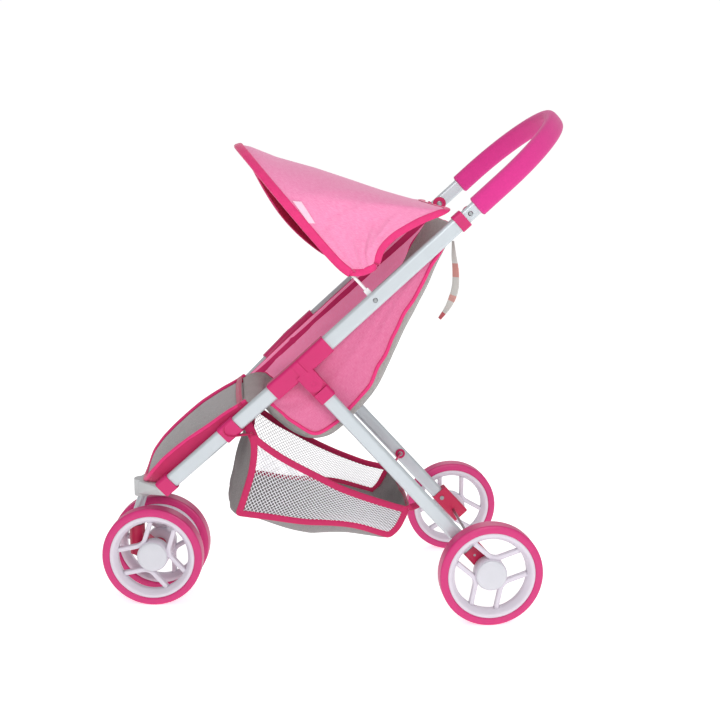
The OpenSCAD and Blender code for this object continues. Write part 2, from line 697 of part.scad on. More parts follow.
// The pad's middle line, seen from the side: distance down the lower tubes, height over them
legrest_line = [[-legrest_end - 2, legrest_rise + 0.45 * legrest_arch], [-206, legrest_rise + legrest_arch],
    [-166, legrest_rise + 0.85 * legrest_arch], [-126, legrest_rise + 0.4 * legrest_arch],
    [-legrest_at, legrest_rise]];
module legrest() color(linen_grey) from_axle() translate([0, joint_y, joint_z]) slope(lower_slope)
    intersection() {
        linear_extrude(4 * legrest_arch) hull() {
            for (side = [-1, 1]) {
                legrest_corner(side, legrest_at + legrest_top_r, legrest_top_r);
                legrest_corner(side, legrest_end - legrest_low_r, legrest_low_r);
            }
        }
        rotate([90, 0, 0]) linear_extrude(frame_w, center = true) polygon(band(legrest_line, legrest_t));
    }

// Care tag hanging behind the seat's top
tag_w = 20;
tag_t = 0.8;
tag_line = [[228, -19], [217, -40], [196, -62], [170, -74]];
module care_tag() color(net_white) tube_plane() translate([0, -frame_w / 2 + 28, 0]) rotate([90, 0, 0])
    linear_extrude(tag_w, center = true) polygon(band(tag_line, tag_t));

// Basket -------------------------------------------------------------------------------------------

basket_low_y = clip_y + 4;
basket_low_z = clip_z - 2 - basket_h;
// Corners of a side: front top, front bottom, rear bottom, rear top
basket_corners = [[basket_low_y + 20, basket_low_z + basket_h], [basket_low_y, basket_low_z],
    [basket_low_y + basket_len, basket_low_z - 42], [basket_low_y + basket_len + 25, basket_low_z - 1]];

module basket_side(side) color(net_white) on_side(side) from_axle() translate([basket_w / 2, 0, 0])
    rotate([90, 0, 90]) linear_extrude(basket_t) polygon(basket_corners);

// Panel between the sides, from one corner to the next
module basket_panel(k, from, to) from_axle() rotate([90, 0, 90])
    linear_extrude(basket_w - 2 * play, center = true) {
        a = basket_corners[k];
        b = basket_corners[k + 1];
        d = norm(b - a);
        translate(a) rotate(atan2(b[1] - a[1], b[0] - a[0])) translate([from, 0])
            square([d - from - to, basket_t]);
    }
module basket_front() color(linen_grey) basket_panel(0, 0, 0);
module basket_floor() color(linen_grey) basket_panel(1, basket_t + play, basket_t + play);
module basket_rear() color(linen_grey) basket_panel(2, 0, 0);

upper_tube(1);  // upper_tube_left
upper_tube(-1);  // upper_tube_right
lower_tube(1);  // lower_tube_left
lower_tube(-1);  // lower_tube_right
side_joint(1);  // side_joint_left
side_joint(-1);  // side_joint_right
collar(1);  // collar_left
collar(-1);  // collar_right
handle_tube();
handle_grip();
handle_rivets();
seat_clip(1);  // seat_clip_left
seat_clip(-1);  // seat_clip_right
seat_crossbar();
tube_cap(1);  // tube_cap_left
tube_cap(-1);  // tube_cap_right
front_yoke();
steering_tube();
steering_bolt();
hood_rivets();
seat_side(1);  // seat_side_left
seat_side(-1);  // seat_side_right
seat_sling();
legrest();
care_tag();
basket_side(1);  // basket_side_left
basket_side(-1);  // basket_side_right
basket_floor();
basket_front();
basket_rear();
leg_socket(1);  // leg_socket_left
leg_socket(-1);  // leg_socket_right
fold_pins();
rear_leg(1);  // rear_leg_left
rear_leg(-1);  // rear_leg_right
axle_bracket(1);  // axle_bracket_left
axle_bracket(-1);  // axle_bracket_right
bracket_screws();
rear_axle();
basket_tabs();
rear_rim(1);  // rear_rim_left
rear_tyre(1);  // rear_tyre_left
rear_cap(1);  // rear_cap_left
rear_rim(-1);  // rear_rim_right
rear_tyre(-1);  // rear_tyre_right
rear_cap(-1);  // rear_cap_right
caster_block();
front_axle();
front_rim(1);  // front_rim_left
front_tyre(1);  // front_tyre_left
front_cap(1);  // front_cap_left
front_rim(-1);  // front_rim_right
front_tyre(-1);  // front_tyre_right
front_cap(-1);  // front_cap_right
hood_bow();
hood_clips();
hood_fabric();
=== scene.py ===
"""Looks of a folding doll stroller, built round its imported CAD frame.

Laid out as an add-on and run as a script. Lengths inside the functions are in millimetres, in the
row frame: X across with the near side at +X, the front wheels toward -Y, Z up from the floor.
"""

import math

import bmesh
import bpy
import numpy as np
from mathutils import Matrix, Vector


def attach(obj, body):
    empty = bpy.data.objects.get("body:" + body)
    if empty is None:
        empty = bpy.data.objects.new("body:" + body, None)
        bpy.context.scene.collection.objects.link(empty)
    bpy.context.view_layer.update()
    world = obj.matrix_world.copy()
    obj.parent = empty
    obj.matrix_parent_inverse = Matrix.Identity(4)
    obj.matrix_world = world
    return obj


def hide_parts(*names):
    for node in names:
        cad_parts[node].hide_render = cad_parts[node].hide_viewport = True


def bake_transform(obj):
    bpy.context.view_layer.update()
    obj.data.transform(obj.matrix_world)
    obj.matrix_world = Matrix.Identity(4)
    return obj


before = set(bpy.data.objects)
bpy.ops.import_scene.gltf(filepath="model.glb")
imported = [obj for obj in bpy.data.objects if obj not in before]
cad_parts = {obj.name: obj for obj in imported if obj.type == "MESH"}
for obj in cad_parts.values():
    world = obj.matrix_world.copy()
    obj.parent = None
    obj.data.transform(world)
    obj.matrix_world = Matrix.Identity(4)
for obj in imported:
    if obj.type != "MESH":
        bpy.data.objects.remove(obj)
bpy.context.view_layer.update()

bl_info = {
    "name": "Doll stroller",
    "version": (1, 0, 0),
    "blender": (4, 5, 0),
    "location": "View3D > Sidebar > Stroller",
    "description": "Builds the visible surfaces of a doll stroller round its CAD frame",
    "category": "Object",
}

MM = 0.001

# Places that the frame's source gives, in millimetres and degrees
TUBE_SLOPE, LOWER_SLOPE, LOWER_INSET = 42.0, 43.4, 13.5
JOINT_Y, JOINT_Z = -43.78, 323.62
TUBE_X, TUBE_HALF = 110.0, 5.0
PIVOT_Y, PIVOT_Z = -27.72, 305.78
WHEEL_R, TYRE_IN = 65.0, 55.0
REAR_AXLE = (0.0, 189.08, 65.0)
REAR_TRACK, FRONT_TRACK = 139.8, 27.2
FRONT_AXLE, FRONT_AXIS = (3.44, -228.54, 65.0), (0.99122, -0.13226, 0.0)
BOW_TURN, CLIP_AT = 141.1, 117.0
TIP_AT = 214  # where the leg rest begins to close in its round tip
LEG_LONG_TO_STRAP = 206  # how far down a rear leg the basket's strap is fixed
LEG_LEAN = math.atan(11.0 / 324.0)  # the rear legs spread downwards


# Arrays and curves -----------------------------------------------------------------------------


def upper(x, s, h):
    """Places in the upper tubes' plane as points: x across, s up the tubes from the side joints, h
    square to them. The plane is turned up by its slope about X."""
    x, s, h = np.broadcast_arrays(*(np.asarray(v, float) for v in (x, s, h)))
    a = math.radians(TUBE_SLOPE)
    return np.stack([x, JOINT_Y + s * math.cos(a) - h * math.sin(a),
                     JOINT_Z + s * math.sin(a) + h * math.cos(a)], -1)


def lower(x, l, h):
    """The same for the lower tubes, with l running down them from the side joints."""
    x, l, h = np.broadcast_arrays(*(np.asarray(v, float) for v in (x, l, h)))
    a = math.radians(LOWER_SLOPE)
    return np.stack([x, JOINT_Y - l * math.cos(a) - h * math.sin(a),
                     JOINT_Z - l * math.sin(a) + h * math.cos(a)], -1)


def unit(v):
    """Vectors divided by their own lengths."""
    return v / np.maximum(np.linalg.norm(v, axis=-1, keepdims=True), 1e-12)


def same(direction, count):
    """One direction, repeated for each point of a path."""
    return np.repeat(np.asarray(direction, float)[None], count, 0)


def step(x, lo, hi):
    """A smooth step: 3t^2 - 2t^3, with t the share of the way from lo to hi."""
    t = np.clip((np.asarray(x, float) - lo) / (hi - lo), 0, 1)
    return t * t * (3 - 2 * t)


def curve(points, count):
    """A smooth line through points: cubic pieces whose slope at a point follows its two neighbours,
    cut into even lengths."""
    p = np.asarray(points, float)
    t = lengths(p)
    m = np.gradient(p, t, axis=0)
    fine = np.linspace(t[0], t[-1], 40 * len(p))
    i = np.clip(np.searchsorted(t, fine, side="right") - 1, 0, len(t) - 2)
    g = (t[i + 1] - t[i])[:, None]
    u = (fine - t[i])[:, None] / g
    q = ((2 * u**3 - 3 * u**2 + 1) * p[i] + (u**3 - 2 * u**2 + u) * g * m[i]
         + (3 * u**2 - 2 * u**3) * p[i + 1] + (u**3 - u**2) * g * m[i + 1])
    d = lengths(q)
    s = np.linspace(0, d[-1], count)
    return np.stack([np.interp(s, d, q[:, k]) for k in range(p.shape[1])], -1)


def lengths(path):
    """Distance along a path to each of its points."""
    return np.concatenate([[0], np.cumsum(np.linalg.norm(np.diff(path, axis=0), axis=1))])


def ripple(shape, seed, waves):
    """Soft folds on a grid from -1 to 1: a sum of sines across both parameters, with seeded
    directions and phases."""
    rng = np.random.default_rng(seed)
    u, v = np.meshgrid(np.linspace(0, 1, shape[0]), np.linspace(0, 1, shape[1]), indexing="ij")
    total = np.zeros(shape)
    for k in range(waves):
        a, b = rng.uniform(1, 4 + k, 2)
        turn = 2 * math.pi * (a * u + b * v * rng.choice([-1, 1]))
        total += np.sin(turn + rng.uniform(0, 6.3)) / (k + 1)
    return total / 2.3


# Meshes ----------------------------------------------------------------------------------------


def sheet_mesh(name, points):
    """Mesh of a grid of points in millimetres: each four neighbours make a face. Its UV map holds
    real lengths along the grid's two directions."""
    rows, cols = points.shape[:2]
    a, b = np.meshgrid(np.arange(rows - 1), np.arange(cols - 1), indexing="ij")
    first = (a * cols + b).ravel()
    quads = np.stack([first, first + cols, first + cols + 1, first + 1], -1)
    mesh = bpy.data.meshes.new(name)
    mesh.from_pydata((points.reshape(-1, 3) * MM).tolist(), [], quads.tolist())
    du = np.zeros((rows, cols))
    du[1:] = np.cumsum(np.linalg.norm(np.diff(points, axis=0), axis=2), axis=0).mean(1)[:, None]
    dv = np.zeros((rows, cols))
    dv[:, 1:] = np.cumsum(np.linalg.norm(np.diff(points, axis=1), axis=2), axis=1)
    uv = np.stack([du, dv], -1)
    layer = mesh.uv_layers.new(name="Cloth")
    corner = np.zeros(len(mesh.loops), np.int32)
    mesh.loops.foreach_get("vertex_index", corner)
    layer.data.foreach_set("uv", (uv.reshape(-1, 2)[corner] * MM).astype(np.float32).ravel())
    return mesh


def tidy(mesh):
    """Merges repeated points of a mesh, at a seam or a pole, and, where it is closed, makes its faces
    point outwards."""
    bm = bmesh.new()
    bm.from_mesh(mesh)
    bmesh.ops.remove_doubles(bm, verts=bm.verts, dist=2e-6)
    bmesh.ops.dissolve_degenerate(bm, edges=bm.edges, dist=1e-7)
    if all(len(e.link_faces) == 2 for e in bm.edges):
        bmesh.ops.recalc_face_normals(bm, faces=bm.faces)
    bm.to_mesh(mesh)
    bm.free()
    mesh.polygons.foreach_set("use_smooth", [True] * len(mesh.polygons))
    return mesh


def place(name, mesh, body, finish, stands_for=()):
    """Object of a mesh, at the origin, with its finish and body; the CAD nodes it stands for are hidden."""
    obj = bpy.data.objects.new(name, mesh)
    bpy.context.scene.collection.objects.link(obj)
    for f in (finish if isinstance(finish, (list, tuple)) else [finish]):
        mesh.materials.append(FINISHES[f])
    if body:
        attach(obj, body)
    if stands_for:
        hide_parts(*stands_for)
    return obj


def joined(name, meshes):
    """One mesh of several."""
    bm = bmesh.new()
    for m in meshes:
        bm.from_mesh(m)
        bpy.data.meshes.remove(m)
    mesh = bpy.data.meshes.new(name)
    bm.to_mesh(mesh)
    bm.free()
    mesh.polygons.foreach_set("use_smooth", [True] * len(mesh.polygons))
    return mesh


def grow(obj, kind, **settings):
    """Adds a modifier with its settings."""
    m = obj.modifiers.new(kind.title(), kind)
    for key, value in settings.items():
        setattr(m, key, value)
    return m


def sweep(name, path, side, section, round_end=0.0, closed=False, scale=None):
    """A section carried along a path: its first axis lies along side, and its second along the path
    crossed with side. round_end adds a dome of that length at both ends: the section shrinks with the
    cosine as it moves out with the sine. scale holds the section's two sizes at each point."""
    path, side = np.asarray(path, float), np.asarray(side, float)
    ahead = np.roll(path, -1, 0) - np.roll(path, 1, 0)
    if not closed:
        ahead[0], ahead[-1] = path[1] - path[0], path[-1] - path[-2]
    ahead = unit(ahead)
    side = unit(side - ahead * (side * ahead).sum(1, keepdims=True))
    other = np.cross(ahead, side)
    size = np.ones((len(path), 2)) if scale is None else np.asarray(scale, float)
    if closed:
        path, side, other, size = (np.concatenate([a, a[:1]]) for a in (path, side, other, size))
    else:
        q = np.linspace(0, math.pi / 2, 6)[1:]
        out, shrink = np.sin(q)[:, None] * round_end, np.maximum(np.cos(q), 1e-6)[:, None]
        path = np.concatenate([(path[0] - out * ahead[0])[::-1], path, path[-1] + out * ahead[-1]])
        size = np.concatenate([(size[0] * shrink)[::-1], size, size[-1] * shrink])
        side, other = (np.concatenate([np.repeat(a[:1], 5, 0), a, np.repeat(a[-1:], 5, 0)])
                       for a in (side, other))
    section = np.concatenate([section, section[:1]])
    points = (path[:, None] + section[None, :, :1] * size[:, None, :1] * side[:, None]
              + section[None, :, 1:] * size[:, None, 1:] * other[:, None])
    if not closed:
        points[0], points[-1] = path[0], path[-1]
    return tidy(sheet_mesh(name, points))


def oval(width, height, count, power):
    """A flat oval about its middle: a superellipse, whose power squares its corners."""
    a = np.linspace(0, 2 * math.pi, count, endpoint=False)
    c, s = np.cos(a), np.sin(a)
    return np.stack([np.sign(c) * np.abs(c) ** (2 / power) * width / 2,
                     np.sign(s) * np.abs(s) ** (2 / power) * height / 2], -1)


def turned(name, centre, axis, profile, count):
    """A closed profile of radius and distance along the axis, turned about it."""
    axis = unit(np.asarray(axis, float))
    up = np.array([0.0, 0.0, 1.0]) if abs(axis[2]) < 0.9 else np.array([0.0, 1.0, 0.0])
    first = unit(np.cross(up, axis))
    second = np.cross(axis, first)
    a = np.linspace(0, 2 * math.pi, count + 1)[:, None, None]
    prof = np.asarray(profile, float)
    prof = np.concatenate([prof, prof[:1]])[None]
    points = (np.asarray(centre, float) + prof[..., 1:] * axis
              + prof[..., :1] * (np.cos(a) * first + np.sin(a) * second))
    points[-1] = points[0]
    return tidy(sheet_mesh(name, points))


# Finishes --------------------------------------------------------------------------------------

FINISHES = {}


def linear(code):
    """An sRGB hex colour as linear red, green and blue, with full alpha."""
    parts = [int(code[i:i + 2], 16) / 255 for i in (1, 3, 5)]
    return (*[x / 12.92 if x <= 0.04045 else ((x + 0.055) / 1.055) ** 2.4 for x in parts], 1.0)


def shade(colour, by):
    """A colour, hex or linear, as linear with its light multiplied."""
    c = linear(colour) if isinstance(colour, str) else colour
    return (*[min(1.0, x * by) for x in tuple(c)[:3]], 1.0)


def add(tree, kind, sockets=None, **settings):
    """A node with its settings, and with links or values on its sockets."""
    n = tree.nodes.new("ShaderNode" + kind)
    for key, value in settings.items():
        setattr(n, key, value)
    for key, value in (sockets or {}).items():
        if isinstance(value, bpy.types.NodeSocket):
            tree.links.new(value, n.inputs[key])
        else:
            n.inputs[key].default_value = value
    return n


def surface_of(name, **sockets):
    """A new material of one Principled shader, kept under its name, with uniform values on the
    shader's own sockets."""
    mat = bpy.data.materials.new(name)
    mat.use_nodes = True
    tree = mat.node_tree
    shader = tree.nodes["Principled BSDF"]
    for key, value in sockets.items():
        shader.inputs[key.replace("_", " ")].default_value = value
    FINISHES[name] = mat
    return tree, shader


def mottled(tree, shader, dark, light, grain_mm, detail=3.0):
    """Colour that wanders between two shades in patches of a real size. Returns the coordinates."""
    at = add(tree, "TexCoord").outputs["Object"]
    noise = add(tree, "TexNoise", {"Vector": at, "Scale": 1 / (grain_mm * MM), "Detail": detail})
    mix = add(tree, "Mix", {0: noise.outputs["Fac"], 6: dark, 7: light}, data_type="RGBA")
    tree.links.new(mix.outputs[2], shader.inputs["Base Color"])
    return at


def rough_skin(tree, shader, at, grain_mm, depth_mm, low, high, strength=1.0):
    """Fine relief of a real grain size, with roughness that follows it."""
    noise = add(tree, "TexNoise", {"Vector": at, "Scale": 1 / (grain_mm * MM), "Detail": 4.0})
    bump = add(tree, "Bump", {"Height": noise.outputs["Fac"], "Distance": depth_mm * MM,
                              "Strength": strength})
    spread = add(tree, "MapRange", {"Value": noise.outputs["Fac"], "To Min": low, "To Max": high})
    tree.links.new(bump.outputs["Normal"], shader.inputs["Normal"])
    tree.links.new(spread.outputs["Result"], shader.inputs["Roughness"])


def moulded(name, colour, gloss, grain_mm=0.5, coat=0.0):
    """Injection-moulded plastic: even colour with a faint flow pattern, and the fine eroded skin of
    its mould, which breaks up the highlight."""
    tree, shader = surface_of(name, IOR=1.5, Coat_Weight=coat, Coat_Roughness=0.3)
    at = mottled(tree, shader, shade(colour, 0.93), shade(colour, 1.05), 22)
    rough_skin(tree, shader, at, grain_mm, 0.03, gloss - 0.06, gloss + 0.08)


def woven(name, dark, light, thread_mm, heather_mm, coords="UV", turn=0.0, sheen=0.25, fleck=None,
          relief=0.35):
    """Plain-woven cloth: two sets of threads at right angles raise it, and slubs a few threads long
    make some threads lighter. The threads are drawn coarser than the real 0.3 mm, so that they
    show."""
    tree, shader = surface_of(name, Sheen_Weight=sheen, Sheen_Roughness=0.5, IOR=1.45)
    at = add(tree, "TexCoord").outputs[coords]
    if coords == "Object":
        at = add(tree, "Mapping", {"Vector": at, "Rotation": (-turn, 0, 0)}).outputs["Vector"]
    waves = [add(tree, "TexWave", {"Vector": at, "Scale": 0.314 / (thread_mm * MM), "Distortion": 1.2,
                                   "Detail": 2.0, "Detail Scale": 3.0}, bands_direction=d)
             for d in ("X", "Y")]
    slubs = []
    for long_x, long_y in ((1, 7), (7, 1)):
        stretched = add(tree, "Mapping", {"Vector": at, "Scale": (
            1 / (heather_mm * long_x * MM), 1 / (heather_mm * long_y * MM), 1 / (heather_mm * 4 * MM))})
        slubs.append(add(tree, "TexNoise", {"Vector": stretched.outputs["Vector"], "Scale": 1.0,
                                            "Detail": 3.0, "Roughness": 0.6}))
    slub = add(tree, "Math", {0: slubs[0].outputs["Fac"], 1: slubs[1].outputs["Fac"]}, operation="ADD")
    share = add(tree, "MapRange", {"Value": slub.outputs["Value"], "From Min": 0.72, "From Max": 1.28})
    mix = add(tree, "Mix", {0: share.outputs["Result"], 6: linear(dark), 7: linear(light)},
              data_type="RGBA")
    colour = mix.outputs[2]
    if fleck:
        spots = add(tree, "TexNoise", {"Vector": at, "Scale": 1 / (1.8 * MM), "Detail": 2.0})
        few = add(tree, "MapRange", {"Value": spots.outputs["Fac"], "From Min": 0.52, "From Max": 0.7,
                                     "To Max": 0.5})
        colour = add(tree, "Mix", {0: few.outputs["Result"], 6: colour, 7: linear(fleck)},
                     data_type="RGBA").outputs[2]
    tree.links.new(colour, shader.inputs["Base Color"])
    weave = add(tree, "Math", {0: waves[0].outputs["Fac"], 1: waves[1].outputs["Fac"]}, operation="ADD")
    height = add(tree, "Math", {0: weave.outputs["Value"], 1: slub.outputs["Value"]}, operation="ADD")
    bump = add(tree, "Bump", {"Height": height.outputs["Value"], "Distance": 0.25 * MM,
                              "Strength": relief})
    tree.links.new(bump.outputs["Normal"], shader.inputs["Normal"])
    worn = add(tree, "MapRange", {"Value": slub.outputs["Value"], "To Min": 0.8, "To Max": 0.95})
    tree.links.new(worn.outputs["Result"], shader.inputs["Roughness"])
    return shader


def tape(name, colour):
    """Woven binding tape: close ribs across its length, which catch light as fine lines, and slow
    changes of shade. UV runs along the tape, then round it."""
    rib_mm = 1.4
    tree, shader = surface_of(name, Sheen_Weight=0.3, Sheen_Roughness=0.4)
    at = add(tree, "TexCoord").outputs["UV"]
    ribs = add(tree, "TexWave", {"Vector": at, "Scale": 0.314 / (rib_mm * MM), "Distortion": 0.8,
                                 "Detail": 2.0}, bands_direction="X")
    patches = add(tree, "TexNoise", {"Vector": at, "Scale": 1 / (9 * MM), "Detail": 4.0})
    mix = add(tree, "Mix", {0: patches.outputs["Fac"], 6: shade(colour, 0.86), 7: shade(colour, 1.12)},
              data_type="RGBA")
    tree.links.new(mix.outputs[2], shader.inputs["Base Color"])
    height = add(tree, "Math", {0: ribs.outputs["Fac"], 1: patches.outputs["Fac"]}, operation="ADD")
    bump = add(tree, "Bump", {"Height": height.outputs["Value"], "Distance": 0.2 * MM,
                              "Strength": 0.4})
    tree.links.new(bump.outputs["Normal"], shader.inputs["Normal"])
    worn = add(tree, "MapRange", {"Value": ribs.outputs["Fac"], "To Min": 0.62, "To Max": 0.8})
    tree.links.new(worn.outputs["Result"], shader.inputs["Roughness"])


def make_finishes(c):
    """Every finish, from the colours the user may change."""
    # Powder lacquer on steel tube: a soft satin with a trace of orange peel
    tree, shader = surface_of("silver_lacquer", Metallic=0.35, Coat_Weight=0.4, Coat_Roughness=0.15)
    at = mottled(tree, shader, shade(c.tube, 0.96), shade(c.tube, 1.03), 30)
    rough_skin(tree, shader, at, 1.6, 0.02, 0.3, 0.42)
    # Polypropylene and ABS mouldings
    moulded("hot_pink_abs", c.moulding, 0.4, coat=0.05)
    moulded("crimson_abs", c.bracket, 0.42, coat=0.05)
    moulded("pale_grey_abs", "#BEC1C2", 0.4)
    moulded("lilac_white_pp", c.rim, 0.34, grain_mm=0.8)
    moulded("cap_white_pp", "#CFCFD6", 0.3, grain_mm=0.8)
    moulded("white_coated_wire", "#F4F3F4", 0.35)
    # Solid EVA tyre: a satin skin with rubbing marks
    tree, shader = surface_of("pink_eva", Coat_Weight=0.12, Coat_Roughness=0.35, IOR=1.5)
    at = mottled(tree, shader, shade(c.tyre, 0.9), shade(c.tyre, 1.06), 6, detail=5.0)
    rough_skin(tree, shader, at, 0.9, 0.06, 0.36, 0.52)
    # Closed-cell foam: dull, with open cut cells that scatter the light
    tree, shader = surface_of("magenta_foam", Sheen_Weight=0.2, Sheen_Roughness=0.6, IOR=1.4)
    at = mottled(tree, shader, shade(c.foam, 0.88), shade(c.foam, 1.1), 2.2, detail=6.0)
    rough_skin(tree, shader, at, 0.8, 0.25, 0.8, 0.95, 0.6)
    # Zinc-plated steel: grey, with fine drawing marks
    tree, shader = surface_of("zinc_steel", Metallic=1.0)
    at = mottled(tree, shader, shade("#8C9093", 0.85), shade("#B4B8BA", 1.0), 1.5)
    rough_skin(tree, shader, at, 0.4, 0.02, 0.28, 0.45)
    woven("pink_linen", "#E87AAA", "#F29EC3", 1.5, 0.85)
    woven("pink_linen_side", "#D1608C", "#DC7EA4", 1.5, 0.85)
    # The sides' inner faces are a lighter copy of the side cloth with a faint pink glow: painted light that
    # brightens them where they stand in shade
    shader = woven("pink_linen_inner", "#F287B2", "#FFA6CA", 1.5, 0.85)
    shader.inputs["Emission Color"].default_value = linear("#FF8FBE")
    shader.inputs["Emission Strength"].default_value = 0.2
    woven("grey_linen", "#858280", "#ACA9A6", 1.4, 0.9, fleck="#A08A8E")
    # Darker copies of the grey linen for the basket's bag and its inside: painted shade, for the bag stands
    # under the seat and its inside lies in shade
    woven("grey_linen_bag", "#6B6867", "#8C8988", 1.4, 0.9, fleck="#8A787B")
    woven("grey_linen_lining", "#7D7979", "#9B9798", 1.4, 0.9)
    woven("grey_linen_pad", "#838081", "#A8A5A6", 1.4, 0.9, coords="Object",
          turn=math.radians(LOWER_SLOPE), fleck="#A68C90")
    # Coated lining of the hood: plain, darker and smoother than the face cloth. The same finish is painted
    # shade on the hem's inner faces
    woven("crimson_lining", "#98002F", "#B00A40", 1.4, 2.4, sheen=0.1, relief=0.2)
    tape("pink_tape", c.binding)
    tape("crimson_tape", "#BC1256")
    # Copy of the crimson tape for the basket tapes' inner faces, a touch brighter: painted light that lifts
    # the shade they stand in
    tape("deep_crimson_tape", "#C61254")
    # Knitted polyester net: bright, slightly shiny threads, with a faint white glow of painted light that
    # lifts the threads seen in shade
    tree, shader = surface_of("white_net", Sheen_Weight=0.3, Sheen_Roughness=0.4,
                              Emission_Color=(1, 1, 1, 1), Emission_Strength=0.12)
    at = mottled(tree, shader, linear("#D9D8DE"), linear("#F0EFF3"), 1.0)
    rough_skin(tree, shader, at, 0.5, 0.05, 0.5, 0.7)
    # Satin care tape with plain coloured bands and nothing printed on it
    tree, shader = surface_of("satin_tape", Sheen_Weight=0.2, Sheen_Roughness=0.3)
    at = add(tree, "TexCoord").outputs["UV"]
    along = add(tree, "SeparateXYZ", {0: at}).outputs["X"]
    ramp = add(tree, "ValToRGB", {0: add(tree, "MapRange", {
        "Value": along, "From Min": 0.0, "From Max": 100 * MM}).outputs["Result"]})
    ramp.color_ramp.interpolation = "CONSTANT"
    bands = [(0.0, "#F2F0EC"), (0.3, "#E9A49C"), (0.47, "#E4E3DE"), (0.7, "#EBB0A8"), (0.78, "#EDEBE6"),
             (0.95, "#E07078")]
    while len(ramp.color_ramp.elements) < len(bands):
        ramp.color_ramp.elements.new(0.5)
    for element, (place_at, colour) in zip(ramp.color_ramp.elements, bands):
        element.position, element.color = place_at, shade(colour, 0.76)
    tree.links.new(ramp.outputs["Color"], shader.inputs["Base Color"])
    rough_skin(tree, shader, at, 0.6, 0.05, 0.4, 0.6)
    # Pale satin label, blank
    tree, shader = surface_of("pale_label", Sheen_Weight=0.2)
    at = mottled(tree, shader, linear("#F3B9D2"), linear("#FBD3E3"), 1.2)
    rough_skin(tree, shader, at, 0.6, 0.05, 0.45, 0.6)
    # Matt white floor
    tree, shader = surface_of("studio_floor", Emission_Color=(1, 1, 1, 1), Emission_Strength=0.6)
    at = mottled(tree, shader, linear("#F4F4F4"), linear("#F8F8F8"), 400)
    rough_skin(tree, shader, at, 60, 0.1, 0.75, 0.85, 0.1)


# Pieces ----------------------------------------------------------------------------------------

BARE = {"upper_tube": "silver_lacquer", "lower_tube": "silver_lacquer", "handle_tube": "silver_lacquer",
        "seat_crossbar": "silver_lacquer", "steering_tube": "silver_lacquer", "rear_leg": "silver_lacquer",
        "side_joint": "hot_pink_abs", "collar": "hot_pink_abs", "seat_clip": "hot_pink_abs",
        "tube_cap": "hot_pink_abs", "leg_socket": "hot_pink_abs", "axle_bracket": "crimson_abs",
        "caster_block": "crimson_abs", "front_yoke": "pale_grey_abs", "hood_clips": "white_coated_wire",
        "hood_bow": "white_coated_wire", "handle_rivets": "zinc_steel", "steering_bolt": "zinc_steel",
        "hood_rivets": "zinc_steel", "fold_pins": "hot_pink_abs", "bracket_screws": "zinc_steel",
        "rear_axle": "zinc_steel", "front_axle": "zinc_steel"}
ROUNDED = {"side_joint": 1.6, "collar": 0.7, "seat_clip": 0.8, "tube_cap": 0.8, "leg_socket": 1.6,
           "axle_bracket": 0.8, "caster_block": 1.2, "front_yoke": 1.5}


def finish_frame():
    """Gives every CAD node that stays its finish, and rounds the mouldings' edges."""
    for name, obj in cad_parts.items():
        kind = name.replace("_left", "").replace("_right", "")
        if kind not in BARE:
            continue
        obj.data.materials.clear()
        obj.data.materials.append(FINISHES[BARE[kind]])
        if kind in ROUNDED:
            grow(obj, "WELD", merge_threshold=1e-5)
            grow(obj, "BEVEL", width=ROUNDED[kind] * MM, segments=3, limit_method="ANGLE",
                 angle_limit=math.radians(40), harden_normals=False)
            grow(obj, "WEIGHTED_NORMAL", keep_sharp=False)


# Wheels


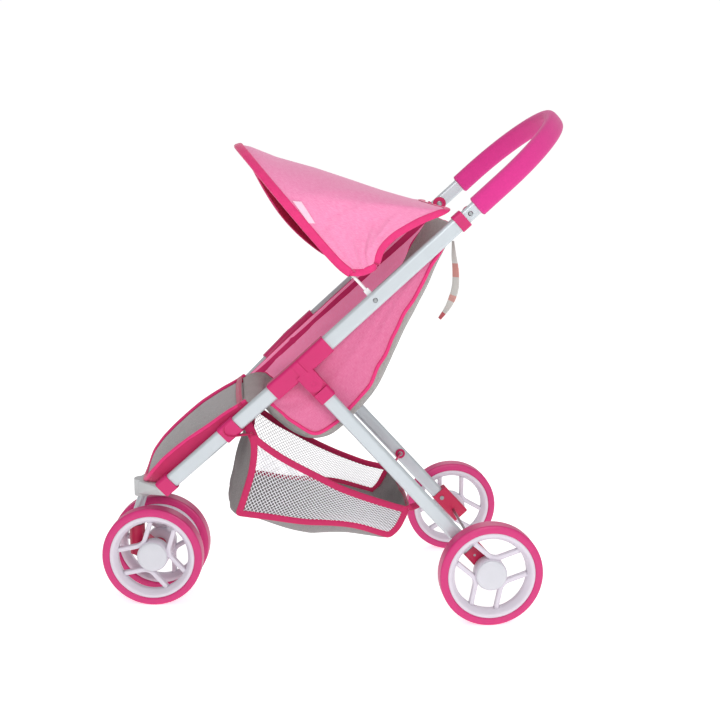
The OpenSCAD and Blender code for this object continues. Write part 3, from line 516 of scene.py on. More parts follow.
def wheel(pair, word, centre, axis, first_spoke):
    """One wheel: tyre and rim ring are turned profiles, and each of its three spokes is a bar carried
    along a line that comes in from the rim, bends round the hub and goes out again."""
    name = f"{pair}_wheel_{word}"
    axis = unit(np.asarray(axis, float))
    centre = np.asarray(centre, float)

    def part(kind, mesh, finish):
        place(f"{name}_{kind}", mesh, name, finish, [f"{pair}_{kind}_{word}"])

    # Tyre: flat inner face, bulged sides, round shoulders and a nearly flat crown
    q = np.linspace(-1, 1, 41)
    half_width, shoulder = 11.0, 9.2
    crown = WHEEL_R - 0.35 * np.abs(q) ** 2 - shoulder * np.clip((np.abs(q) - 0.5) / 0.5, 0, 1) ** 2.6
    outline = np.stack([crown, half_width * np.sin(np.clip(q, -1, 1) * math.pi / 2)], 1)
    outline = np.concatenate([outline, [[TYRE_IN, 10.3], [TYRE_IN, 0], [TYRE_IN, -10.3]]])
    part("tyre", turned(name + "_tyre", centre, axis, outline, 144), "pink_eva")
    # Rim ring: raised outer lips and a waist with conical sides. Hub: a cup, open inwards
    half = [(45.6, 0), (45.6, 3.6), (46.2, 4.8), (49.2, 8.6), (50.2, 9.8), (51.4, 10.5), (54.2, 10.6),
            (54.9, 10.2), (55.0, 9.4), (55.0, 0)]
    ring = np.array(half + [(r, -z) for r, z in half[::-1][1:-1]])
    hub = [(2.3, -10.8), (19.0, -10.8), (20, -9.8), (20, 6.6), (19.4, 7.4), (8.2, 7.4), (8.2, 2.8),
           (2.3, 2.8)]
    parts = [turned(name + "_ring", centre, axis, ring, 120), turned(name + "_hub", centre, axis, hub, 64)]
    first = np.array([0.0, 1.0, 0.0])
    first = unit(first - axis * (first @ axis))
    second = np.array([0.0, 0.0, 1.0])
    # Two bars leave each fillet, this far to each side of its middle line
    spread, fillet, gap, reach = math.radians(60), 15.0, 16.2, 47.5
    hub_side = gap / math.sin(spread) + fillet / math.sin(spread)
    bend = np.radians(np.linspace(-30, 30, 17))
    arc = np.stack([hub_side - fillet * np.cos(bend), fillet * np.sin(bend)], 1)
    run = np.linspace(1, 34, 12)[:, None]
    d = np.array([math.cos(spread), math.sin(spread)])
    line = np.concatenate([(arc[0] + run[::-1] * d * [1, -1]), arc, arc[-1] + run * d])
    line = line[np.linalg.norm(line, axis=1) < reach]
    for k in range(3):
        middle = math.radians(first_spoke + 60 + 120 * k)
        out, across = (first * math.cos(middle) + second * math.sin(middle),
                       -first * math.sin(middle) + second * math.cos(middle))
        path = centre + axis * 0.5 + line[:, :1] * out + line[:, 1:] * across
        parts.append(sweep(name + "_bar", path, same(axis, len(path)), oval(8.6, 6.0, 24, 4.5)))
    part("rim", joined(name + "_rim", parts), "lilac_white_pp")
    # Cap: a low dome over the hub
    r = np.linspace(0, 1, 14)
    cap_r, cap_base = 19.3, 7.6
    dome = np.stack([cap_r * r, 8.6 + 2.3 * np.sqrt(np.clip(1 - r**2.6, 0, 1))], 1)
    dome = np.concatenate([dome, [[cap_r, cap_base], [0, cap_base]]])
    part("cap", turned(name + "_cap", centre, axis, dome, 72), "cap_white_pp")


def wheels():
    """All four wheels, each with the spoke direction it stands at."""
    front_axis = unit(np.array(FRONT_AXIS))
    for side, word, turn in ((1, "left", 19), (-1, "right", 90)):
        wheel("rear", word, np.array(REAR_AXLE) + [side * REAR_TRACK, 0, 0], (side, 0, 0), turn)
    for side, word, turn in ((1, "left", 72), (-1, "right", 30)):
        centre = np.array(FRONT_AXLE) + side * FRONT_TRACK * front_axis
        wheel("front", word, centre, side * front_axis, turn)


# Handle foam


def handle_foam(settings):
    """A flat-oval foam sleeve along the handle: straight arms and a half circle between them, with
    softly rounded ends."""
    a = np.radians(np.linspace(0, 180, 73))
    bend = np.stack([TUBE_X * np.cos(a), 333 + TUBE_X * np.sin(a)], 1)
    left = np.stack([np.full(12, TUBE_X), np.linspace(288.5, 329, 12)], 1)
    right = np.stack([np.full(5, -TUBE_X), np.linspace(330, 315.5, 5)], 1)
    flat = np.concatenate([left, bend, right])
    path = upper(flat[:, 0], flat[:, 1], 0)
    normal = unit(upper(0, 0, 1) - upper(0, 0, 0))
    section = oval(settings.foam_wide / MM, 16, 40, 2.8)
    mesh = sweep("foam_grip", path, same(normal, len(path)), section, 2.5)
    place("foam_grip", mesh, "frame", "magenta_foam", ["handle_grip"])


# Cloth helpers


def away(points, inside):
    """The grid turned, if need be, so that its faces point away from a place inside it."""
    a = points[1:, :-1] - points[:-1, :-1]
    b = points[:-1, 1:] - points[:-1, :-1]
    n = np.cross(a, b)
    d = points[:-1, :-1] - np.asarray(inside, float)
    return points if (n * d).sum() > 0 else points[:, ::-1]


def cloth(name, points, inside, body, finish, stands_for, thick, back=None):
    """An open sheet of cloth with a real thickness, turned inwards from the grid. back is the finish
    of its inner side."""
    mesh = tidy(sheet_mesh(name, away(points, inside)))
    obj = place(name, mesh, body, [finish, back] if back else finish, stands_for)
    grow(obj, "SOLIDIFY", thickness=thick * MM, offset=-1, use_even_offset=False,
         material_offset=1 if back else 0, material_offset_rim=0)
    return obj


def edge_of(points):
    """Points round the four edges of a grid, and at each the direction into the sheet."""
    edges = ((points[0], points[1] - points[0]), (points[:, -1], points[:, -2] - points[:, -1]),
             (points[-1, ::-1], (points[-2] - points[-1])[::-1]),
             (points[::-1, 0], (points[:, 1] - points[:, 0])[::-1]))
    path = np.concatenate([edge for edge, _ in edges])
    inward = np.concatenate([unit(into) for _, into in edges])
    keep = np.concatenate([[True], np.linalg.norm(np.diff(path, axis=0), axis=1) > 1e-6])
    return path[keep], inward[keep]


def binding(name, path, inward, body, finish, slot, width, thick, closed, wave, seed, soften=2, sink=0.4,
            scale=None):
    """Tape folded over a cloth's edge: a flat oval carried along it, its middle set inwards by sink
    times its width, with a slow waviness: five sines of seeded periods. The line's corners are
    rounded by averaging neighbours."""
    spacing = 2.5
    total = lengths(np.concatenate([path, path[:1]]) if closed else path)
    count = max(int(total[-1] / spacing), 8)
    at = np.linspace(0, total[-1], count, endpoint=not closed)
    src = [np.concatenate([a, a[:1]]) if closed else a for a in (path, inward)]
    path, inward = (np.stack([np.interp(at, total, a[:, k]) for k in range(3)], -1) for a in src)
    if scale is not None:
        s = np.concatenate([scale, scale[:1]]) if closed else scale
        scale = np.stack([np.interp(at, total, s[:, k]) for k in range(2)], -1)
    for _ in range(soften):
        for a in (path, inward):
            mean = (np.roll(a, 1, 0) + 2 * a + np.roll(a, -1, 0)) / 4
            if not closed:
                mean[0], mean[-1] = a[0], a[-1]
            a[:] = mean
    inward = unit(inward)
    rng = np.random.default_rng(seed)
    sway = sum(np.sin(2 * math.pi * at / total[-1] * k + rng.uniform(0, 6.3)) / (1 + 0.15 * k)
               for k in rng.integers(3, 14, 5)) * wave / 2
    path = path + inward * (sink * width + sway[:, None])
    mesh = sweep(name, path, inward, oval(width, thick, 16, 2.8), thick / 2, closed, scale)
    return place(name, mesh, body, finish)


def shaded_side_finish(obj, inside, finish, turned_by=0.15):
    """Gives the faces that look toward a place inside the object a finish of their own: painted shade on
    the hood's hem and painted light on the basket tapes, whose inner sides stand in shade. turned_by is the
    least cosine between a face and the way to that place."""
    mesh = obj.data
    mesh.materials.append(FINISHES[finish])
    count = len(mesh.polygons)
    normal, middle = np.zeros(count * 3, np.float32), np.zeros(count * 3, np.float32)
    mesh.polygons.foreach_get("normal", normal)
    mesh.polygons.foreach_get("center", middle)
    out = middle.reshape(-1, 3) - np.asarray(inside, float) * MM
    toward = (normal.reshape(-1, 3) * unit(out)).sum(1) < -turned_by
    mesh.polygons.foreach_set("material_index", toward.astype(np.int32))
    return obj


# Hood


HOOD_FRONT = curve(np.array(
    [(102.4 * math.sin(q), 122.4 - 4.0 * (q / 1.57) ** 2, BOW_TURN + 102.4 * math.cos(q))
     for q in np.linspace(0, math.pi / 2, 9)]
    + [(102.6, 117.2, 112), (103.2, 116.6, 82), (105.2, 117.4, 58), (108.5, 120.5, 44)]), 220)
HOOD_BACK = curve(np.array(
    [(0, 255.5, 26.5), (35, 256.5, 25.5), (70, 259, 22.5), (98, 262, 18.5), (109, 259, 19.5),
     (111.5, 247, 24.5), (112, 230, 31), (112, 212, 36), (112, 190, 40), (112, 172, 38.5),
     (112, 160, 33), (111.5, 151, 28.5)]), 220)

# Soft creases as lines over the hood's two parameters: start, end, width, and height in millimetres
HOOD_CREASES = ((0.97, 0.5, 0.62, 0.42, 0.022, 2.2), (0.96, 0.62, 0.6, 0.6, 0.028, -2.0),
                (0.95, 0.3, 0.7, 0.2, 0.025, 1.8), (0.9, 0.75, 0.55, 0.75, 0.03, 1.6),
                (0.75, 0.1, 0.45, 0.55, 0.03, -1.5), (0.5, 0.15, 0.3, 0.7, 0.04, 1.4),
                (0.85, 0.85, 0.6, 0.5, 0.025, -1.6))


def hood_point(t, v):
    """The hood's sheet. t runs across it from -1 to 1 and v from the bow at 0 to the back edge at 1.
    A point lies on the straight line between the two edges, raised behind the bow at the ridge, drawn
    in along the flanks, and let down at the lower corners."""
    t, v = np.broadcast_arrays(np.asarray(t, float), np.asarray(v, float))
    a, k = np.abs(t), np.linspace(0, 1, len(HOOD_FRONT))
    front = np.stack([np.interp(a, k, HOOD_FRONT[:, i]) for i in range(3)], -1)
    back = np.stack([np.interp(a, k, HOOD_BACK[:, i]) for i in range(3)], -1)
    q = front * (1 - v[..., None]) + back * v[..., None]
    ridge = 1 - step(a, 0.12, 0.5)
    rise = np.interp(v, [0, 0.05, 0.1, 0.16, 0.22, 0.3, 0.42, 0.55, 0.75, 1],
                     [0, 7.5, 10, 7, 4, 4.5, 5.5, 3.5, -0.5, 0])
    hollow = np.sin(math.pi * v) * (1 - ridge)
    x = q[..., 0] + hollow * (-2.5 + 5.5 * step(a, 0.6, 0.95))
    s = q[..., 1]
    h = q[..., 2] + rise * ridge - 6.0 * np.sin(math.pi * v) * step(a, 0.9, 1.0)
    far = (t < 0) * np.sin(math.pi * np.clip((h - 40) / 170, 0, 1)) * (1 - v) ** 2
    folds = (np.sin(math.pi * v) * step(a, 0.25, 0.8)
             * (1.6 * np.sin(9 * v + 7 * a + 1.3 * t) + 0.9 * np.sin(21 * v - 15 * a)))
    for a0, v0, a1, v1, wide, deep in HOOD_CREASES:
        along = ((a - a0) * (a1 - a0) + (v - v0) * (v1 - v0)) / ((a1 - a0) ** 2 + (v1 - v0) ** 2)
        off = ((a - a0) * (v1 - v0) - (v - v0) * (a1 - a0)) / math.hypot(a1 - a0, v1 - v0)
        ends = step(along, -0.1, 0.2) * (1 - step(along, 0.7, 1.1))
        folds = folds + deep * np.exp(-(off / wide) ** 2) * ends
    return upper(np.sign(t + 1e-12) * (x + folds), s - 12 * far, h + 0.4 * folds)


def hood(settings):
    """The hood's cloth with its lining, its binding and the blank label."""
    t = np.linspace(-1, 1, 181)[:, None]
    v = np.linspace(0, 1, 65)[None]
    grid = hood_point(t, v)
    inside = upper(0, 190, 20)
    sheet = cloth("hood_cloth", grid, inside, None, "pink_linen", ["hood_fabric"], 1.2,
                  "crimson_lining")
    path, inward = edge_of(grid.transpose(1, 0, 2))
    front = np.concatenate([np.ones(181), np.zeros(len(path) - 181)])
    for _ in range(4):
        front = (np.roll(front, 1) + 2 * front + np.roll(front, -1)) / 4
    scale = np.stack([1 + 0.3 * front, 1 + 1.35 * front], 1)
    hem = binding("hood_hem", path, inward, None, "pink_tape", "pink_fabric", settings.tape_wide / MM,
                  2.8, True, 0.5, 3, scale=scale)
    # The hem's inner faces take the crimson lining's finish: painted shade on a tape that is pink all round
    shaded_side_finish(hem, upper(0, 190, 60), "crimson_lining", 0.4)
    u, w = np.meshgrid(np.linspace(0, 1, 25), np.linspace(0, 1, 9), indexing="ij")
    patch = hood_point(0.535 + 0.14 * u, 0.072 + 0.058 * w)
    out = unit(np.cross(patch[1:2, 1:2] - patch[:1, :1], patch[1:2, :1] - patch[:1, 1:2]))
    out = out * np.sign((out * (patch[:1, :1] - inside)).sum())
    label = cloth("hood_label", patch + out * 1.0, inside, None, "pale_label", (), 0.6)
    for piece in (sheet, hem, label):
        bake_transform(piece)


# Seat


SEAT_OUTLINE = curve([(257, -3), (232, -9), (211, -15), (179, -27.5), (151, -36), (121, -46.5),
                      (96, -57.5), (70, -68), (44, -77.5), (24, -81), (9, -82), (-14, -84),
                      (-31, -82), (-43, -74.5), (-50, -61), (-54, -41), (-56, -22), (-58, -8)], 150)
PANEL_X = 95.2


def panel_x(s, h):
    """Distance of the seat's side from the middle: it follows the lower tubes inwards near them."""
    return PANEL_X + 0.13 * np.minimum(s, 0) * step(h, -45, -12)


def seat_sides():
    """Each side of the seat is a sheet between its top edge along the tube and the curved seam of the
    back. It swells a little between them and has soft creases toward the seam."""
    top = np.stack([np.linspace(255, -76, len(SEAT_OUTLINE)), np.full(len(SEAT_OUTLINE), 5.5)], 1)
    w = np.linspace(0, 1, 34)[None, :, None]
    flat = top[:, None] * (1 - w) + SEAT_OUTLINE[:, None] * w
    s, h = flat[..., 0], flat[..., 1]
    swell = np.sin(math.pi * w[..., 0]) * np.minimum(1, (5.5 - h) / 40)
    for side, word in ((1, "left"), (-1, "right")):
        fold = ripple(s.shape, 11 + side, 5) * 1.1 * swell
        x = panel_x(s, h) + 2.6 * swell + fold
        grid = upper(side * x, s, h)
        inside = upper(0, 60, -30)
        # The panels' inner faces take the lighter, glowing copy of the side cloth: painted light where they
        # stand in shade
        panel = cloth("seat_panel_" + word, grid, inside, "frame", "pink_linen_side",
                      ["seat_side_" + word], 1.2, "pink_linen_inner")
        line = upper(side * (panel_x(SEAT_OUTLINE[:, 0], SEAT_OUTLINE[:, 1]) + 0.4),
                     SEAT_OUTLINE[:, 0], SEAT_OUTLINE[:, 1])
        into = grid[:, -2] - grid[:, -1]
        seam = binding(f"seat_piping_{word}", line, unit(into), "frame", "pink_tape", "pink_binding", 4.6,
                       3.6, False, 2.2, 20 + side, sink=0.1)
        edge = upper(side * panel_x(top[:, 0], top[:, 1] * 0), top[:, 0], top[:, 1])
        down = same(upper(0, 0, -1) - upper(0, 0, 0), len(edge))
        rim = binding(f"seat_edge_{word}", edge, down, "frame", "pink_tape", "pink_binding", 12.5, 2.4,
                      False, 0.3, 30 + side, sink=0.45)


def seat_back():
    """The seat's back and bottom, one grey sheet slung between the two side seams. Across it bows out
    as a flat arch, a square root of 1 - t^2, most at the seat's lowest part; in front it turns up to
    meet the leg rest."""
    lip = curve([(-58, -8), (-63, -2), (-72, 4), (-84, 8)], 14)[1:]
    line = np.concatenate([SEAT_OUTLINE, lip])
    ahead = unit(np.gradient(line, axis=0))
    out = np.stack([-ahead[:, 1], ahead[:, 0]], 1)
    out *= np.sign((out * (line - [60, 0])).sum(1).mean())
    t = np.linspace(-1, 1, 61)[None, :, None]
    d = lengths(line)
    crown = np.interp(d, [0, 40, 120, 300, 370, d[len(SEAT_OUTLINE) - 1], d[-1]],
                      [4, 13, 19, 20, 20, 13, 0])[:, None, None]
    arch = np.sqrt(np.clip(1 - np.abs(t) ** 2.4, 0, 1))
    flat = line[:, None] + out[:, None] * crown * arch
    crease = ripple((len(line), 61), 5, 6)[..., None] * 1.2 * arch
    flat = flat + out[:, None] * crease
    half = panel_x(line[:, 0], line[:, 1])[:, None] - 0.3
    tube_gap = TUBE_X + np.minimum(line[:, :1], 0) * math.tan(math.radians(LOWER_INSET)) - TUBE_HALF - 3.2
    half = np.minimum(half, np.maximum(tube_gap, 80))
    grid = upper(half * t[..., 0], flat[..., 0], flat[..., 1])
    back = cloth("seat_back", grid, upper(0, 60, -20), "frame", "grey_linen", ["seat_sling"],
                 1.6)
    top = binding("seat_top_edge", grid[0], unit(grid[1] - grid[0]), "frame", "pink_tape", "pink_binding",
                  9, 3.0, False, 0.4, 7)


def pad_height(x, l):
    """Height of the leg rest's edge over the lower tubes' plane: it rises from the seam, stays level and
    comes down to the tip, and the far side stands a little higher."""
    h = np.interp(l, [80, 90, 108, 124, 145, 167, 190, 211, 231, 247, 256],
                  [11, 12.5, 17, 20, 23.5, 26, 27.5, 27.5, 24.5, 18, 15])
    return h - 0.055 * x * step(l, 85, 150) * (1 - step(l, 225, 256))


def pad_half(l):
    """Half the leg rest's width: it follows the tubes and closes in a round tip."""
    tip = np.clip((l - TIP_AT) / 40, 0, 1)
    return (101.0 - l * math.tan(math.radians(LOWER_INSET))) * np.sqrt(np.clip(1 - tip**3, 0, 1))


def puffed(pad, pressure, reach):
    """Fills a closed pad as cloth: remeshed, held at its edge band, blown up by pressure without
    gravity, with no point moved further than reach in metres."""
    scene = bpy.context.scene
    grow(pad, "REMESH", mode="VOXEL", voxel_size=0.0045)
    bpy.context.view_layer.update()
    old = pad.data
    pad.data = bpy.data.meshes.new_from_object(pad.evaluated_get(bpy.context.evaluated_depsgraph_get()))
    pad.modifiers.clear()
    bpy.data.meshes.remove(old)
    count = len(pad.data.vertices)
    rest = np.zeros(count * 3, np.float32)
    pad.data.vertices.foreach_get("co", rest)
    rest = rest.reshape(-1, 3)
    back = rest.astype(float) / MM
    a = math.radians(LOWER_SLOPE)
    l = -((back[:, 1] - JOINT_Y) * math.cos(a) + (back[:, 2] - JOINT_Z) * math.sin(a))
    band, head_end, tip_end = 5, 90, 246
    held = np.flatnonzero((np.abs(back[:, 0]) > pad_half(l) - band) | (l < head_end) | (l > tip_end))
    pad.vertex_groups.new(name="held").add(held.tolist(), 1.0, "REPLACE")
    sim = grow(pad, "CLOTH")
    sim.settings.quality = 6
    sim.settings.use_pressure = True
    sim.settings.uniform_pressure_force = pressure
    sim.settings.vertex_group_mass = "held"
    sim.settings.effector_weights.gravity = 0
    last_frame = 20
    for number in range(1, last_frame + 1):
        scene.frame_set(number)
    soft = pad.evaluated_get(bpy.context.evaluated_depsgraph_get()).data
    blown = np.zeros(count * 3, np.float32)
    soft.vertices.foreach_get("co", blown)
    move = blown.reshape(-1, 3) - rest
    far = np.linalg.norm(move, axis=1, keepdims=True)
    pad.modifiers.clear()
    pad.vertex_groups.clear()
    scene.frame_set(1)
    places = rest + move * np.minimum(1, reach / np.maximum(far, 1e-9))
    pad.data.vertices.foreach_set("co", places.astype(np.float32).ravel())
    pad.data.polygons.foreach_set("use_smooth", [True] * len(pad.data.polygons))
    grow(pad, "SUBSURF", levels=1, render_levels=1)


def legrest():
    """The leg rest is a padded form between the lower tubes: its edge follows them and closes in a round
    tip, and across it the section is a flat oval. A band and a piping go round it, and a seam crosses
    its top."""
    head_at, tip_long, sewn_at = 85, 39.4, 87.0
    l = np.concatenate([head_at + 5 * (1 - np.cos(np.linspace(0, 1.57, 8))), np.linspace(92, TIP_AT, 50),
                        TIP_AT + tip_long * np.sin(np.linspace(0.06, 1.57, 20))])
    half = pad_half(l) - 1.5
    head = np.clip((head_at + 5 - l) / 5, 0, 1)
    tip = np.clip((l - TIP_AT) / tip_long, 0, 1)
    thick = 4.2 * np.sqrt(np.clip(1 - tip**6, 0, 1)) * np.sqrt(np.clip(1 - head**2, 0, 1))
    q = np.linspace(0, 2 * math.pi, 73)[None]
    c, s = np.cos(q), np.sin(q)
    x = np.sign(c) * np.abs(c) ** 0.85 * half[:, None]
    crown = 2.0 * (1 - (x / np.maximum(half, 1)[:, None]) ** 2) * (1 - tip[:, None] ** 2)
    h = pad_height(x, l[:, None]) - 1.5 + np.sign(s) * np.abs(s) ** 0.7 * thick[:, None] + crown * s
    grid = lower(x, l[:, None], h)
    grid[:, -1] = grid[:, 0]
    grid[0], grid[-1] = grid[0].mean(0), grid[-1].mean(0)
    mesh = tidy(sheet_mesh("leg_rest", grid))
    pad = place("leg_rest", mesh, "frame", "grey_linen_pad", ["legrest"])
    puffed(pad, 4.0, 0.003)
    run = np.concatenate([np.linspace(79.5, TIP_AT, 62),
                          TIP_AT + (tip_long + 0.5) * np.sin(np.linspace(0.05, 1.57, 24))])
    edge = np.concatenate([np.stack([-pad_half(run), run], 1), np.stack([pad_half(run), run], 1)[-2::-1]])
    height = pad_height(edge[:, 0], edge[:, 1])
    middle = lower(0, 150, pad_height(0, 150))
    square = lower(0, 0, 1) - lower(0, 0, 0)
    foot = 6.5 + 2.5 * step(edge[:, 1], 225, 250)
    tall = height + 1.5 - foot
    band_line = lower(edge[:, 0], edge[:, 1], foot + tall / 2)
    binding("leg_rest_band", band_line, same(square, len(edge)), "frame", "crimson_tape", "pink_binding",
            10, 3.0, False, 0.4, 9, soften=4, sink=0.0, scale=np.stack([tall / 10, np.ones(len(tall))], 1))
    top_line = lower(edge[:, 0] * 0.985, edge[:, 1], height + 1.6)
    full = 1 + 0.35 * step(edge[:, 1], 215, 250)
    binding("leg_rest_piping", top_line, unit(middle - top_line), "frame", "pink_tape", "pink_binding", 5.6,
            4.6, False, 0.7, 12, soften=4, sink=0.1, scale=np.stack([full, full], 1))
    across = np.linspace(-79, 79, 40)
    lift = pad_height(across, np.full(40, sewn_at)) + 1.5 + 2.6 * (1 - (across / 79) ** 2)
    binding("leg_rest_seam", lower(across, sewn_at, lift), same(square, 40), "frame", "crimson_tape",
            "pink_binding", 5.0, 8.4, False, 0.6, 10, sink=0.0)


# Basket


BASKET_X = 94.0
BASKET_TOP = curve([(-103, 240), (-99.9, 236.8), (-68.9, 212.8), (-39.9, 194.5), (-10.5, 178.4),
                    (21.4, 163.3), (55.8, 149.2), (94, 138.5)], 60)
BASKET_LOW = curve([(-124, 137.2), (-92.5, 131.5), (-42.7, 122.7), (-10, 120.5), (21.4, 115.7),
                    (50, 107), (68, 101.5)], 60)
BASKET_FRONT = curve([(-124, 137.2), (-121, 145), (-114.5, 165.1), (-104.9, 199.9), (-102, 220),
                      (-103, 240)], 40)
BASKET_BACK = curve([(68, 101.5), (80, 112), (87, 124), (94, 138.5)], 40)


def basket_side_point(u, w):
    """A basket side's own flat shape: u runs from front to back and w from bottom to top, and a point
    is blended from the four curved edges. Returns y and z."""
    def at(line, k):
        n = np.linspace(0, 1, len(line))
        return np.stack([np.interp(k, n, line[:, 0]), np.interp(k, n, line[:, 1])], -1)
    u, w = np.broadcast_arrays(np.asarray(u, float), np.asarray(w, float))
    low, top, front, back = at(BASKET_LOW, u), at(BASKET_TOP, u), at(BASKET_FRONT, w), at(BASKET_BACK, w)
    u, w = u[..., None], w[..., None]
    corners = ((1 - u) * (1 - w) * BASKET_LOW[0] + u * (1 - w) * BASKET_LOW[-1]
               + (1 - u) * w * BASKET_TOP[0] + u * w * BASKET_TOP[-1])
    return (1 - w) * low + w * top + (1 - u) * front + u * back - corners


def basket_bulge(u, w):
    """How far a side stands out at u, w."""
    return 4.0 * np.sin(math.pi * u) * np.sin(math.pi * w) + 1.2 * np.sin(7 * u + 2) * np.sin(math.pi * w)


def net_side(word, side, pitch):
    """Open net: a lattice of diamonds over the side's two parameters, each cell a face, turned into
    threads by a wireframe."""
    side_long, side_tall = 200, 82
    pitch_u, pitch_w = pitch / side_long, pitch / side_tall
    i, j = np.meshgrid(np.arange(-2, int(2 / pitch_u) + 2), np.arange(-2, int(2 / pitch_w) + 2),
                       indexing="ij")
    i, j = i[(i + j) % 2 == 0], j[(i + j) % 2 == 0]
    centre_u, centre_w = i * pitch_u / 2, j * pitch_w / 2
    inside = (centre_u > 0.006) & (centre_u < 0.994) & (centre_w > 0.01) & (centre_w < 0.99)
    i, j = i[inside], j[inside]
    corners = np.stack([np.stack([i - 1, j], -1), np.stack([i, j - 1], -1), np.stack([i + 1, j], -1),
                        np.stack([i, j + 1], -1)], 1).reshape(-1, 2)
    spots, index = np.unique(corners, axis=0, return_inverse=True)
    u, w = np.clip(spots[:, 0] * pitch_u / 2, 0, 1), np.clip(spots[:, 1] * pitch_w / 2, 0, 1)
    yz = basket_side_point(u, w)
    points = np.stack([side * (BASKET_X + basket_bulge(u, w)), yz[:, 0], yz[:, 1]], -1)
    mesh = bpy.data.meshes.new("net")
    faces = index.reshape(-1, 4)
    mesh.from_pydata((points * MM).tolist(), [], (faces if side > 0 else faces[:, ::-1]).tolist())
    # The threads carry a faint white glow: painted light that lifts them where they stand in shade
    net = place("basket_net_" + word, mesh, None, "white_net", ["basket_side_" + word])
    grow(net, "WIREFRAME", thickness=1.2 * MM, use_boundary=True, use_even_offset=False)
    return net


def basket(settings):
    """The basket is a bag: net sides, and one grey sheet that is its front, floor and back, bowed out
    between the sides. Tape binds every edge, and loops and straps carry it."""
    pieces = []
    t = np.linspace(-1, 1, 41)[None, :]
    arch = np.clip(1 - np.abs(t) ** 2.6, 0, 1)
    profile = np.concatenate([BASKET_FRONT[::-1], BASKET_LOW[1:], BASKET_BACK[1:]])
    d = lengths(profile)
    n = [len(BASKET_FRONT) - 1, len(BASKET_FRONT) + len(BASKET_LOW) - 2]
    ahead = unit(np.gradient(profile, axis=0))
    out = np.stack([ahead[:, 1], -ahead[:, 0]], 1)
    out *= np.sign((out * (profile - [-20, 160])).sum(1).mean())
    swell = np.interp(d, [0, d[n[0]] * 0.5, d[n[0]], (d[n[0]] + d[n[1]]) / 2, d[n[1]],
                          (d[n[1]] + d[-1]) / 2, d[-1]], [5, 15, 10, 36, 20, 9, 3])
    for _ in range(6):
        swell[1:-1] = (swell[:-2] + 2 * swell[1:-1] + swell[2:]) / 4
        out[1:-1] = unit((out[:-2] + 2 * out[1:-1] + out[2:]) / 4)
    crease = ripple((len(profile), 41), 8, 6) * 1.4
    bow = (swell[:, None] + crease) * arch
    y = profile[:, :1] + out[:, :1] * bow
    z = profile[:, 1:] + out[:, 1:] * bow
    grid = np.stack([np.broadcast_to(t * (BASKET_X - 0.6), y.shape), y, z], -1)
    # The bag's outside and inside take the darker copies of the grey linen: painted shade
    bag = cloth("basket_bag", grid, (0, -20, 170), None, "grey_linen_bag",
                ["basket_floor", "basket_front", "basket_rear"], 1.2, "grey_linen_lining")
    pieces.append(bag)
    ends = []
    for k, word in ((0, "front"), (-1, "back")):
        into = grid[1] - grid[0] if k == 0 else grid[-2] - grid[-1]
        ends.append(binding(f"basket_{word}_tape", grid[k], unit(into), None, "crimson_tape",
                            "pink_binding", 8, 2.6, False, 0.5, 40 + k))
    nets = []
    for side, word in ((1, "left"), (-1, "right")):
        nets.append(net_side(word, side, settings.net_pitch / MM))
        u, w = np.linspace(0, 1, 61)[:, None], np.linspace(0, 1, 31)[None]
        yz = basket_side_point(u, w)
        side_grid = np.stack([side * (BASKET_X + basket_bulge(u, w)), yz[..., 0], yz[..., 1]], -1)
        path, inward = edge_of(side_grid)
        ends.append(binding(f"basket_tape_{word}", path, inward, None, "crimson_tape", "pink_binding", 8.5,
                            3.0, True, 0.9, 50 + side, soften=4, sink=0.32))
    # The tapes' inner faces, which stand in shade, take their own brighter copy of the crimson tape:
    # painted light
    for tape_line in ends:
        shaded_side_finish(tape_line, (0, -15, 165), "deep_crimson_tape")
    for side, word in ((1, "left"), (-1, "right")):
        crossbar = lower(side * 84, CLIP_AT, 0)
        a = np.radians(np.linspace(-100, 165, 26))
        loop = crossbar + np.stack([np.zeros(26), 8.2 * np.sin(a), 8.2 * np.cos(a)], -1)
        foot = np.array([side * 88.0, -101.0, 236.0])
        line = curve(np.concatenate([[foot + [0, -2, -6]], [foot], loop[::-1], [foot + [0, 3, 2]]]), 60)
        across = same([1, 0, 0], 60)
        loop_mesh = sweep("loop", line, across, oval(9, 1.6, 14, 3), 0.6)
        hang = curve([foot + [side * 5.5, 4, -12], foot + [side * 4, 0, -1], foot + [-side * 3, -4, 7],
                      foot + [-side * 9, -8, 14]], 24)
        width = same([0, 0.86, 0.5], 24)
        hang_mesh = sweep("hang", hang, width, oval(12, 2.2, 14, 3), 0.8)
        strap = joined("loop", [loop_mesh, hang_mesh])
        place(f"basket_loop_{word}", strap, "frame", "crimson_tape")
        tab = leg_point(LEG_LONG_TO_STRAP, side)
        corner = np.array([side * BASKET_X, 93.0, 138.0])
        line = curve([corner + [0, -8, -1], corner, (corner + tab) / 2 + [-side * 1, 0, -1.5], tab], 30)
        across = same([side * 0.35, 0.5, 0.8], 30)
        strap = sweep("strap", line, across, oval(9, 1.6, 14, 3), 0.6)
        strap = place(f"basket_strap_{word}", strap, None, "crimson_tape")
        pieces.append(strap)
    for piece in pieces + ends + nets:
        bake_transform(piece)


def leg_point(along, side, out=-6.4):
    """Place on a rear leg's inner face, this far down from its pivot."""
    a = math.radians(TUBE_SLOPE)
    down = np.array([math.sin(LEG_LEAN) * side, math.cos(LEG_LEAN) * math.sin(a),
                     -math.cos(LEG_LEAN) * math.cos(a)])
    return np.array([side * TUBE_X, PIVOT_Y, PIVOT_Z]) + down * along + [side * out, 0, 0]


